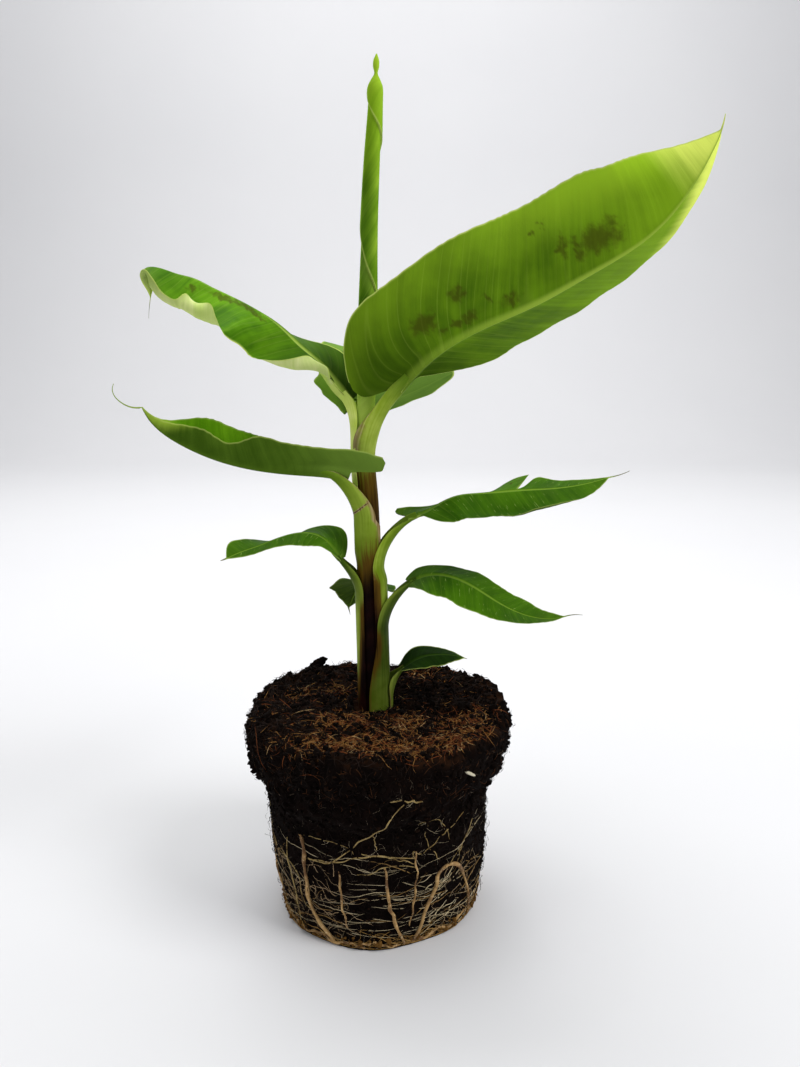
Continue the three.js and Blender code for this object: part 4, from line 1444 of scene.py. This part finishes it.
def stalk_rows(leaf):
    """Sections of a leaf base up the stem, and of its stalk on to a place under the blade's rib."""
    sheath = leaf["sheath"]
    _, side, start, parts, spread = sheath
    radius, rise, reach = leaf["petiole"]
    begin = SUNK_FOOT if start == GROUND else start - BLEND_RUN
    heights = np.linspace(begin, parts, STEM_ROWS)
    on_stem = sheath_radius(sheath, heights)
    if "swell" in leaf:
        proud, low, high = leaf["swell"]
        on_stem = on_stem + proud * ease(heights, low, low + 8) * (1 - ease(heights, high, high + 9))
    ridge = stem_axis(heights) + direction(side) * on_stem[:, None]
    part_spread, narrows = leaf.get("parting", (min(spread, PARTING_SPREAD), 0.93))
    climb = (heights - heights[0]) / (parts - heights[0])
    up = np.array([0, 0, 1.0])
    meet = np.array([leaf.get("meet", MEET)])
    ahead, above, _ = (a[0] for a in leaf_axes(leaf, meet))
    heading, roll = along(leaf["heading"], meet)[0], along(leaf["roll"], meet)[0]
    last = leaf.get("last", LAST_RADIUS)
    end = leaf_line(leaf, meet)[0] - above * last * radius
    t = np.linspace(0, 1, BEND_ROWS + 1)[1:, None]
    line, tangent = bezier(ridge[-1], ridge[-1] + up * rise, end - ahead * reach, end, t)
    t = t[:, 0]
    calm, turn = ease(t, 0, 0.85), ease(t, 0.5, 1)
    slim = lerp(1, last, ease(t, 0.75, 1))
    bend_wall = lerp(SHEATH_WALL, PETIOLE_WALL * radius, calm)
    stem_spread = lerp(spread, part_spread, ease(climb, narrows, 1))
    all_spread = np.append(stem_spread, lerp(part_spread, PETIOLE_SPREAD, calm))
    whole = np.vstack([ridge, line])
    all_radius = np.append(on_stem, lerp(on_stem[-1], radius, calm) * slim)
    if "flare" in leaf:
        more, wider, level, run = leaf["flare"]
        bump = np.exp(-(((whole[:, 2] - level) / run) ** 2))
        all_spread, all_radius = all_spread + more * bump, all_radius + wider * bump
    return {
        "ridge": whole,
        "ahead": np.vstack([np.broadcast_to(up, ridge.shape), tangent]),
        "azimuth": np.append(np.full(STEM_ROWS, side, float), lerp(side, heading, turn)),
        "roll": np.append(np.zeros(STEM_ROWS), roll * turn),
        "radius": all_radius,
        "wall": np.append(np.full(STEM_ROWS, SHEATH_WALL), bend_wall),
        "spread": all_spread,
    }


print("rows of a stalk:", len(stalk_rows(LEAVES["big_right"])["ridge"]))

# %% Marks of a stalk
USUAL_SKIN = (0, 0, 0.5, 0.62, 0)
PARTING_RUN = 12
DRY_RUN = 18
BROWN_LEVEL = 26
BROWN_RUN = 20


def stalk_marks(leaf, rows, points):
    """Where each point is along and round the stalk, and how wine red, pale and dry it is."""
    run = np.append(0, np.cumsum(np.linalg.norm(np.diff(rows["ridge"], axis=0), axis=1)))
    t = (run / run[-1])[:, None]
    share = np.linspace(-1, 1, ARC_COLUMNS + 1)
    share = np.concatenate([share, share[::-1], share[:1]])[None]
    around = share * (np.radians(rows["spread"]) * rows["radius"])[:, None]
    lean, edge, dried, inner, higher = leaf.get("skin", USUAL_SKIN)
    above = points[..., 2] - leaf["sheath"][3]
    margin = ease(np.abs(share), inner, 0.95)
    on_stem = 1 - ease(above, -PARTING_RUN, PARTING_RUN)
    wine = along(leaf["wine"], np.clip(t - lean * share, 0, 1))
    edge = edge * (0.5 + 0.5 * ease(points[..., 2], GROUND, GROUND + 50))
    wine = wine + edge * ease(np.abs(share), 0.35, 0.95) * on_stem
    pale = along(leaf["pale"], t + 0 * share) + 0.25 * margin * (1 - on_stem)
    dry = dried * margin**1.5 * np.exp(-(((above - higher) / DRY_RUN) ** 2))
    brown = np.exp(-(((above - BROWN_LEVEL) / BROWN_RUN) ** 2))
    brown_edge = ease(np.abs(share), 0.92, 1) * brown
    dry = np.maximum(dry, dried * brown_edge)
    if "scar" in leaf:
        level, slant, thick = leaf["scar"]
        off = points[..., 2] - level - slant * points[..., 0]
        dry = np.maximum(dry, np.exp(-((off / thick) ** 2)))
    flat = np.zeros(points.shape[:2])
    place = np.stack([flat + run[:, None], flat + around, flat + ease(t, 0.84, 1)], -1)
    mark = np.stack([flat + wine, flat + pale, flat + dry], -1)
    return {"place": place, "mark": np.clip(mark, 0, 1)}


print("usual dry margin:", USUAL_SKIN[2])

# %% Grow the stalks
STALK_FINISHES = {name: dark_stalk for name in ("left_low", "right_low", "back_low", "lowest")}
STALK_FINISHES["left_upper"] = young_lit_stalk
for name, leaf in LEAVES.items():
    rows = stalk_rows(leaf)
    points = crescents(**rows)
    piece = wrap("stalk_" + name, points, stalk_marks(leaf, rows, points))
    dress(piece, "sheath", STALK_FINISHES.get(name, green_stalk), "sheath_" + name)

# %% [markdown]
# ## Leaf blades
# A banana leaf is a long blade with a stout rib beneath, a shallow groove above it and fine veins that
# slant from the rib to the rim. Each row of the sheet is one cross section: the half blades start at
# the rib, stand at their fold angle and curl on, and some rims roll up so that their paler underside
# shows. Waves, ripples between the veins and small scallops keep the rims from looking cut. The upper
# face, the rim, the underside and the rib are one closed skin.

# %% Line and outline of a blade
ROW_STEP = 1.1
TAIL_ROWS = 16
TAPER_START = 0.42
TIP_RIB = 0.4
RIB_CLEAR = 0.4
RIB_TAPER = 0.8
RIB_FOOT = 0.7
RIB_RISE = 0.08


def tail_line(leaf, tip):
    length, heading, pitch = leaf["tail"]
    s = (np.arange(TAIL_ROWS) + 0.5) / TAIL_ROWS
    axes = axes_of(along(heading, s), along(pitch, s), np.full(TAIL_ROWS, leaf["roll"][-1], float))
    return tip + np.cumsum(axes[0], 0) * length / TAIL_ROWS, axes


def outline(side, t):
    """Share of a half blade's full width at t along the leaf."""
    opened = np.clip((t - side["start"]) / (side["shoulder"] - side["start"]), 0, 1)
    grow = 1 - (1 - side["foot"]) * (1 - opened) ** side["rise"]
    fall = 1 - np.maximum(0, (t - TAPER_START) / (1 - TAPER_START)) ** side["tip"]
    return grow * fall * along(side["trim"], t)


def blade_rows(leaf):
    count = round(leaf["length"] / ROW_STEP)
    t = np.linspace(0, 1, count + 1)
    line = leaf_line(leaf, t)
    tail, tail_axes = tail_line(leaf, line[-1])
    axes = [np.vstack(pair) for pair in zip(leaf_axes(leaf, t), tail_axes)]
    shrink = np.append(np.zeros(count + 1), np.linspace(0, 1, TAIL_ROWS + 1)[1:])
    t = np.append(t, np.ones(TAIL_ROWS))
    emerge = lerp(RIB_FOOT, 1, ease(t, 0, RIB_RISE))
    rib = lerp(leaf["petiole"][0] + RIB_CLEAR, TIP_RIB, t**RIB_TAPER) * (1 - 0.7 * shrink) * emerge
    return {"t": t, "point": np.vstack([line, tail]), "axes": axes, "rib": rib, "tail": shrink}


print("rows of the largest blade:", len(blade_rows(LEAVES["big_right"])["t"]))

# %% Tears, scallops, waves and lobes
HALF_COLUMNS = 32
RIB_PART = 0.2
SCALLOP = 0.16
SCALLOP_LENGTH = 6.5
RAGGED_FADE = (0.12, 0.4)
RIPPLE = 0.13
RIPPLE_LENGTH = 6.4
VEIN_SLANT = 0.4
LOBE_REACH = 0.34
LOBE_ROUND = 0.14
RIM_LEAN = 0.15

column = np.linspace(0, 1, HALF_COLUMNS + 1)
IN_RIB = np.minimum(column / RIB_PART, 1)
SHARE = 1 - (1 - np.clip((column - RIB_PART) / (1 - RIB_PART), 0, 1)) ** 1.5


def tear_of(half_leaf, t):
    """How much of the width is left past a tear, and how far the flap before it leans on."""
    if "tear" not in half_leaf:
        return 1, 0
    at, notch, heals, lean, eases_in, taller = half_leaf["tear"]
    before = ease(t, at - eases_in, at)
    left_over = np.where(t < at, lerp(1, taller, before), lerp(notch, 1, ease(t, at, at + heals)))
    return left_over, lean * np.where(t < at, before, 0)


def scalloped(leaf, half_leaf, t, run, sign):
    """Width of each row, with small scallops that are deeper near the base of a ragged leaf."""
    share = outline(half_leaf, t)
    scallop = np.sin(2 * np.pi * run / SCALLOP_LENGTH + 2 * np.sin(0.21 * run) + sign)
    ragged = SCALLOP + leaf.get("ragged", 0) * (1 - ease(t, *RAGGED_FADE))
    return half_leaf["width"] * share + ragged * scallop * np.minimum(1, 3 * share)


def waves_of(leaf, t, run, away, sign):
    """How far slow waves near the rim and ripples between the veins lift the face."""
    swell, length = leaf["wave"]
    wave = swell * SHARE**2 * np.sin(2 * np.pi * run / length + 2 * sign)
    wave = wave * np.sin(np.pi * np.clip(t, 0, 1))
    slanted = run - VEIN_SLANT * away
    ripple = RIPPLE * np.sin(2 * np.pi * slanted / RIPPLE_LENGTH + 2.1 * np.sin(0.13 * run))
    return wave + ripple * SHARE * (1 - SHARE**4)


def sweep_of(half_leaf, t, flap):
    """How far each point lies towards the tip: lobes back past the base, rims and flaps on."""
    lobe = np.maximum(0, 1 - t / LOBE_REACH) ** 2
    bow = np.sin(np.minimum(1, SHARE / half_leaf["lobe_full"]) * np.pi / 2)
    back = half_leaf["lobe"] * lobe * (bow - LOBE_ROUND * ease(SHARE, 0.75, 1))
    return half_leaf["width"] * (RIM_LEAN * SHARE**1.5 * (1 - lobe) * (1 - t) + flap - back)


print("columns from rib to rim:", HALF_COLUMNS)

# %% Cross section of a half blade
THINNEST_LAMINA = 0.35
ROLL_START = 0.55
SKIN = 0.45
GROOVE = 0.4
RIB_DEPTH = 0.95
RIB_SPREAD = 1.4
FIRST_COLUMN = ((0, 0), (1, 0))


def half_blade(leaf, rows, side, sign):
    """Upper and under points of a half blade, rib to rim, with its distances for the marks."""
    half_leaf = leaf[side]
    t, rib, tail = (rows[key][:, None] for key in ("t", "rib", "tail"))
    ahead, above, left = (a[:, None] for a in rows["axes"])
    run = leaf["length"] * t
    left_over, pull = tear_of(half_leaf, t)
    full = scalloped(leaf, half_leaf, t, run, sign)
    lamina = np.maximum(THINNEST_LAMINA, full * left_over) * (1 - 0.6 * tail)
    away = rib * IN_RIB + lamina * SHARE
    rolled = ease(SHARE, ROLL_START, 1)

    def slope(distance, roll_share):
        bend = along(half_leaf["fold"], t) + along(half_leaf["curl"], t) * distance / (rib + lamina)
        return np.radians(bend + along(half_leaf["rim_roll"], t) * roll_share)

    tilt = slope((away[:, 1:] + away[:, :-1]) / 2, (rolled[1:] + rolled[:-1]) / 2)
    step = np.diff(away, axis=1)
    face = slope(away, rolled)
    groove = GROOVE * rib * (1 - IN_RIB**2) ** 2
    lift = waves_of(leaf, t, run, away, sign) * (1 - tail)
    across = np.pad(np.cumsum(step * np.cos(tilt), 1), FIRST_COLUMN) - np.sin(face) * lift
    up = np.pad(np.cumsum(step * np.sin(tilt), 1), FIRST_COLUMN) + np.cos(face) * lift - groove
    top = rows["point"][:, None] + left * (sign * across)[..., None] + above * up[..., None]
    top = top + ahead * sweep_of(half_leaf, t, pull * SHARE * left_over)[..., None]
    bulge = RIB_DEPTH * rib * (1 + np.cos(np.pi * np.minimum(1, away / (RIB_SPREAD * rib)))) / 2
    deep = SKIN * np.sqrt(1 - SHARE**6) * np.minimum(1, lamina / 4) + bulge - groove * 0.9
    lower = face * ease(away, 0, 1.6 * rib)
    drop = left * (sign * np.sin(lower) * deep)[..., None] - above * (np.cos(lower) * deep)[..., None]
    return {"top": top, "under": top + drop, "away": away, "lamina": lamina, "rib": rib}


print("thickness of a blade:", SKIN, "mm")

# %% Join two halves into a closed skin
def around_blade(left, right):
    """Columns in order: upper left rim to right rim, then back underneath."""
    return np.concatenate([left[0][:, ::-1], right[0][:, 1:], right[1][:, -2::-1], left[1][:, 1:]], 1)


def blade_marks(leaf, rows, halves, stains):
    ones = np.ones_like(halves[0]["away"])
    run = leaf["length"] * rows["t"][:, None] * ones + 20 * rows["tail"][:, None]
    sets = {"place": [], "kind": [], "mark": []}
    for part, sign in zip(halves, (1, -1)):
        gap = part["lamina"] * (1 - SHARE)
        rim = 1 - ease(gap, 0.3, 1.1)
        ribness = 1 - ease(part["away"], 0.3 * part["rib"], 0.95 * part["rib"])
        stain = stains(run, sign * part["away"]) * (1 - ribness)
        dry = np.clip(rows["tail"][:, None] * 2.2, 0, 1) * ones
        place = np.stack([run, sign * part["away"], rows["t"][:, None] * ones], -1)
        mark = np.stack([stain, dry, SHARE * ones], -1)
        for name, first in (("place", place), ("mark", mark)):
            sets[name].append((first, first))
        sets["kind"].append(tuple(np.stack([u * ones, ribness, rim], -1) for u in (0, 1)))
    return {name: around_blade(*pair) for name, pair in sets.items()}


def blade_points(leaf):
    rows = blade_rows(leaf)
    halves = [half_blade(leaf, rows, "left", 1), half_blade(leaf, rows, "right", -1)]
    pairs = [(part["top"], part["under"]) for part in halves]
    return rows, halves, around_blade(*pairs)


print("corners round the largest blade:", blade_points(LEAVES["big_right"])[2].shape)

# %% [markdown]
# ## Wine-red stains
# Young banana leaves of this kind carry wine-red stains, which look olive brown through the green. On
# the large leaf they lie beside the rib and are drawn out along the veins. Each stain is an oval at a
# distance along the leaf and out from the rib, with an edge that wavers, and is stored as a mark on
# both faces of the mesh.

# %% Where the stains are
# along the leaf, out from the rib, length, width and strength of each stain
STAINS = {
    "big_right": [
        (37, -17, 4, 4, 1), (57, -22, 2.8, 3, 0.8), (58, -7.6, 3.3, 2.2, 0.8), (50, -7.6, 1.6, 1.7, 0.8),
        (42, -7.7, 1.6, 1.7, 0.6), (71, -12.6, 1.6, 1.4, 0.8), (83, -7.1, 3.3, 2.4, 0.9),
        (120, -19, 2.6, 3.7, 0.7), (126, -14, 1.5, 5.2, 0.9), (138, -14, 6.2, 4.7, 1),
        (148, -11, 3.7, 3.8, 0.5), (147, -18, 3.8, 3.2, 0.5), (113, -35, 1.1, 1.3, 0.7),
        (107, -34, 0.9, 0.8, 0.6),
    ],
    "left_upper": [(97, 6, 5, 2.2, 1), (84, 6, 6, 2, 1), (76, 9, 4, 1.6, 0.8), (115, 9, 2.5, 2, 0.9)],
    "right_middle": [(64, 15, 1.2, 1.2, 1)],
    "back_upper": [
        (60, 18, 7, 8, 0.8), (82, -20, 7, 9, 0.9), (48, -14, 5, 6, 0.7), (104, 14, 6, 8, 0.8),
    ],
}
STAIN_FADE = 1.75


def stain_rule(name):
    """How near each point is to a stain: the strength in its middle, fading to 0 well outside."""
    spots = STAINS.get(name, [])

    def stains(run, across):
        total = np.zeros(run.shape)
        along_it = run + 1.2 * np.sin(1.3 * across + 0.5 * run) + 0.8 * np.sin(0.9 * run - 1.9 * across)
        out_of_it = across + 1.0 * np.sin(1.2 * run) + 0.7 * np.sin(2.0 * run + 0.9 * across)
        for at, out, wide, tall, strength in spots:
            distance = np.hypot((along_it - at) / wide, (out_of_it - out) / tall)
            stain = (0.55 + 0.45 * strength) * np.exp(-((distance / STAIN_FADE) ** 2))
            total = np.maximum(total, stain)
        return total

    return stains


print("stained leaves:", ", ".join(STAINS))

# %% [markdown]
# ## Finish of the leaves
# The upper face is deep green with a satin shine, the underside is paler and duller. Fine veins slant
# from the rib to the rim, so the noise is squeezed along the leaf and stretched across it. On that
# ground lie the base paint, which is painted shade where it is dark and painted light where it is
# light, painted light in lime where light shines through a young leaf, thin scratches on old leaves,
# the rib, the stains, a thin pale rim and the dry tail. Each leaf's recipe turns these up or down.

# %% What every leaf finish reads
class LeafSkin(Finish):
    """A finish that has read a blade's marks, and the noises that its steps share."""

    def __init__(self, name):
        super().__init__(name, specular=0.015)
        self.run, self.across, self.t = self.marks("place")
        self.under, self.rib, self.rim = self.marks("kind")
        self.stain, self.dry, self.share = self.marks("mark")
        self.slanted = self.blend((self.run, 1.0), (self.calc("ABSOLUTE", self.across), -VEIN_SLANT))
        self.vein_place = self.join(self.slanted, self.times(self.across, 0.045))
        self.streaks = self.noise(self.vein_place, 0.12, detail=4, rough=0.6)
        self.veins = self.noise(self.vein_place, 0.9, detail=2)
        self.cloud = self.noise(self.place(), 32, detail=3)
        self.fleck = self.noise(self.place(), 260, detail=3)


print("veins slant by", VEIN_SLANT, "mm for each millimetre out from the rib")

# %% Ground, painted shade and painted light of a leaf
def ground(skin, face, back, rib_paint):
    """The two faces, with thin lines along some of the veins."""
    blend = skin.blend((skin.streaks, 0.42), (skin.cloud, 0.48), (skin.veins, 0.1))
    tone = skin.fit(blend, 0.36, 0.66)
    colour = skin.mix(skin.mix(*face, tone), skin.mix(*back, tone), skin.under)
    wander = skin.calc("SUBTRACT", skin.noise(skin.vein_place, 0.14, detail=0.0), 0.5)
    line = skin.fit(skin.calc("ABSOLUTE", wander), 0.0, 0.03, 1.0, 0.0)
    line = skin.times(line, skin.fit(skin.t, 0.1, 0.5, 0.24, 0.08))
    return skin.mix(colour, rib_paint, line)


def paint_shade_and_light(skin, colour, base, more):
    """The base paint near the stem, painted shade where it is dark and painted light where it is light,
    and the same paint on a left half that lies in shade.
    """
    shade_and_light_paint, strength, reach = base
    # Painted shade near the stem where the base paint is dark, painted light where it is light.
    foot = skin.fit(skin.t, 0.0, reach, strength, 0.0)
    kept = skin.times(skin.under, more.get("pale_back", 0.0))
    colour = skin.mix(colour, shade_and_light_paint, skin.times(foot, skin.calc("SUBTRACT", 1.0, kept)))
    # The same paint on the left half: painted shade, or painted light where the paint is light.
    shade = skin.fit(skin.t, 0.1, 0.8, more.get("shade", 0.0), 0.0)
    return skin.mix(colour, shade_and_light_paint, skin.times(shade, skin.fit(skin.across, 2, 14)))


def lit(skin, colour, tip, more):
    """Lime where light shines through: along the right rim, towards the far end and in the tip."""
    outer = skin.times(skin.fit(skin.share, 0.35, 1.0), skin.fit(skin.t, 0.2, 0.7, 0.3, 1.0))
    right = skin.fit(skin.across, -4, -14, 0.0, more.get("lit_rim", 0.0))
    colour = skin.mix(colour, "#aedb30", skin.times(outer, right))
    parts = (skin.t, 1.0), (skin.share, 0.07), (skin.streaks, 0.1), (skin.across, 0.0025)
    far_out = skin.blend(*parts)
    colour = skin.mix(colour, "#9cc822", skin.fit(far_out, 0.45, 1.0, 0.0, more.get("glow", 0.0)))
    return skin.mix(colour, tip[0], skin.fit(far_out, 0.88, 1.03, 0.0, tip[1]))


print("the ground of a leaf is mixed in three steps")

# %% Leaf finish
def worn(skin, colour, rib_paint, tip, more):
    """Scratches, rib, stains, rim and dry tail, one over the other."""
    scratch = skin.noise(skin.join(skin.slanted, skin.times(skin.across, 0.09)), 1.3, detail=2)
    scratch = skin.fit(scratch, 0.64, 0.74, 0.0, more.get("scratched", 0.0))
    colour = skin.mix(colour, "#a5bd62", scratch)
    clear = skin.fit(skin.t, 0.08, 0.5, more.get("rib_foot", 0.3), more.get("rib_end", 0.9))
    colour = skin.mix(colour, rib_paint, skin.times(skin.rib, clear))
    parts = (skin.stain, 1.0), (skin.fleck, 0.9), (skin.veins, 0.5), (skin.streaks, 0.5)
    colour = skin.mix(colour, "#40380f", skin.fit(skin.blend(*parts), 1.15, 1.8, 0.0, 0.64))
    colour = skin.mix(colour, "#c3d56c", skin.times(skin.rim, more.get("rim", 0.7)))
    husk = skin.mix("#4d3b26", "#948770", skin.cloud)
    # The dry tail takes in the tip paint, and with it the tip's painted light.
    return skin.mix(colour, skin.mix(husk, tip[0], tip[1] * 0.8), skin.dry)


GREEN_TIP = ("#4c7414", 0.4)
# The usual base paint is dark: painted shade near the stem.
PAINTED_BASE_SHADE = ("#1c2c04", 0.3, 0.24)


def leaf_finish(name, face, back, rib_paint, tip=GREEN_TIP, base=PAINTED_BASE_SHADE, **more):
    """Paints of the upper face and the back, each dark to light, of the rib and the tip, and the base
    paint.

    A dark base paint is painted shade near the stem, a light one painted light. More says how strong
    that paint is on the left half (shade), how strong the painted light of glow and lit_rim is, how
    strong the scratches and rim are, how much of the pale_back the painted base leaves, and how clear
    the rib is at its foot and its end.
    """
    skin = LeafSkin(name)
    colour = paint_shade_and_light(skin, ground(skin, face, back, rib_paint), base, more)
    colour = worn(skin, lit(skin, colour, tip, more), rib_paint, tip, more)
    rough = skin.blend((skin.fit(skin.cloud, 0.2, 0.8, 0.46, 0.58), 1.0), (skin.under, 0.08))
    return skin.finish(colour, roughness=rough, height=skin.veins, depth=0.0005, strength=0.3)


print("usual tip and base:", GREEN_TIP[0], PAINTED_BASE_SHADE[0])

# %% Six leaf finishes
# Painted shade: the dark base paint near the stem and on the left half. Painted light: glow, lit_rim and
# the lime tip.
young_leaf = leaf_finish(
    "young_leaf", ("#335c0a", "#4f8010"), ("#476a0e", "#6f9818"), "#a2c044",
    tip=("#eeff70", 1.0), base=("#1f3004", 0.62, 0.24), glow=0.5, shade=0.15, lit_rim=0.75, rim=1.0,
)
# Painted shade: the dark base paint far up the upper face; pale_back keeps it off the underside.
upper_leaf = leaf_finish(
    "upper_leaf", ("#35640a", "#6aa018"), ("#b4cc68", "#e4eaa4"), "#b4cc5c",
    tip=("#6f8c34", 0.5), base=("#1c2c04", 0.9, 0.58), pale_back=0.9, rib_foot=0.95, rib_end=0.25, rim=1.0,
)
# Painted light: the light base paint near the stem.
folded_leaf = leaf_finish(
    "folded_leaf", ("#568e0c", "#7cb41c"), ("#38540e", "#52701e"), "#4d6a1a",
    tip=("#9cbc3c", 0.9), base=("#7a9a3c", 0.6, 0.3), rim=0.4,
)
# Painted light: the light base paint near the stem and on the left half, which lies in shade.
shaded_leaf = leaf_finish(
    "shaded_leaf", ("#3b5a16", "#5e7e2c"), ("#446618", "#648434"), "#7f9e38",
    base=("#94c050", 0.2, 0.24), shade=0.8,
)
# Painted light: the light base paint near the stem.
old_leaf = leaf_finish(
    "old_leaf", ("#2d5208", "#4a760e"), ("#3a5412", "#5b7628"), "#76982f",
    base=("#5a7434", 0.2, 0.24), scratched=0.6, rib_foot=0.5, rim=0.4,
)
# Very dark paints: partly the low leaf's own colour, partly painted shade where it lies in shade. The
# usual dark base paint is painted shade too.
low_shaded_leaf = leaf_finish("low_shaded_leaf", ("#15280a", "#26440c"), ("#24380c", "#3c5418"), "#3d5a1c")
print("leaf finishes:", sum("_leaf" in material.name for material in bpy.data.materials))

# %% [markdown]
# ## Wrap the blades
# Each leaf becomes one wrapped sheet. The leaf on the right at mid height has a tear in its far half:
# a wedge that opens from the rim towards the rib, with the torn flap standing a little higher.

# %% Grow the blades
LEAF_FINISHES = {
    "big_right": young_leaf,
    "left_upper": upper_leaf,
    "left_middle": folded_leaf,
    "back_upper": shaded_leaf,
    "lowest": low_shaded_leaf,
}
for name, leaf in LEAVES.items():
    rows, halves, points = blade_points(leaf)
    piece = wrap("leaf_" + name, points, blade_marks(leaf, rows, halves, stain_rule(name)))
    slot = "young_blade" if name == "big_right" else "blade"
    dress(piece, slot, LEAF_FINISHES.get(name, old_leaf), "blade_" + name)

# %% [markdown]
# ## The rolled leaf
# The youngest leaf stands up from the crown as a tight scroll. Its free edge winds round it once on
# the way up and shows as a fine step. A section of a scroll is a spiral: the radius shrinks a little
# round the turn and steps back at the edge. Sections are turned and laid one over the other. The leaf
# finish serves here too, with the side that catches the light marked as the paler face.

# %% Sections of the scroll
SPEAR_FOOT = 306
SPEAR_RADII = (5.9, 6.3, 6, 5.6, 5.4, 5)
SPEAR_TIP_RADII = (5, 4.6, 3, 1.1, 1.9, 1.8, 0.5)
SPEAR_TIP_START = 0.9
SPEAR_LIP = 1.2
SPEAR_EDGE_TURNS = (575, 575, 720, 612, 510, 400, 190)
SPEAR_ROWS = 220
SPEAR_COLUMNS = 64


def spear_points():
    t = np.linspace((SPEAR_FOOT - CORE_TOP) / (PLANT_TOP - CORE_TOP), 1, SPEAR_ROWS)
    height = lerp(CORE_TOP, PLANT_TOP, t)
    low = along(SPEAR_RADII, t / SPEAR_TIP_START)
    high = along(SPEAR_TIP_RADII, (t - SPEAR_TIP_START) / (1 - SPEAR_TIP_START))
    radius = np.where(t < SPEAR_TIP_START, low, high)
    edge = along(SPEAR_EDGE_TURNS, t / SPEAR_TIP_START)
    lip = np.minimum(SPEAR_LIP, 0.3 * radius)
    share = np.append(np.linspace(0, 1, SPEAR_COLUMNS), 0)[None]
    reach = radius[:, None] - lip[:, None] * share
    turn = edge[:, None] + 360 * share
    points = stem_axis(height)[:, None] + direction(turn) * reach[..., None]
    return points, height, radius, share


print("the scroll's foot and top:", SPEAR_FOOT, PLANT_TOP, "mm")

# %% Wrap the scroll
VEIN_CLIMB = 1.4

points, height, radius, share = spear_points()
flat = np.zeros(points.shape[:2])
winding = radius[:, None] * np.radians(360 * share) - VEIN_CLIMB * height[:, None]
below_top = flat + height[:, None] - PLANT_TOP
edge_near = 1 - ease(np.minimum(share, 1 - share) * 360, 2, 10) + flat
inner_pale = ease(share, 0.72, 0.95) * (1 - ease(height, 395, 450))[:, None]
off = points - stem_axis(height)[:, None]
azimuth = np.arctan2(off[..., 1], off[..., 0])
light_side = ease(np.cos(azimuth - 0.35), -0.75, 0.9)
light_side = np.maximum(light_side, 0.8 * ease(-np.cos(azimuth), 0.8, 1))
marks = {
    "place": np.stack([winding, below_top, flat + ease(height, 300, 540)[:, None]], -1),
    "kind": np.stack([light_side, flat, np.maximum(0.9 * edge_near, 0.15 * inner_pale)], -1),
    "mark": np.zeros_like(points),
}
# Painted light: the pale lime base paint on the scroll's foot, which lies in shade, and the glow.
spear_finish = leaf_finish(
    "rolled_leaf", ("#3c620c", "#628a1a"), ("#6a9618", "#a4ca3c"), "#a6c650",
    tip=("#b4d83c", 0.6), base=("#c4e060", 0.8, 0.09), glow=0.5,
)
dress(wrap("rolled_leaf", points, marks), "spear", spear_finish, "spear_leaf")
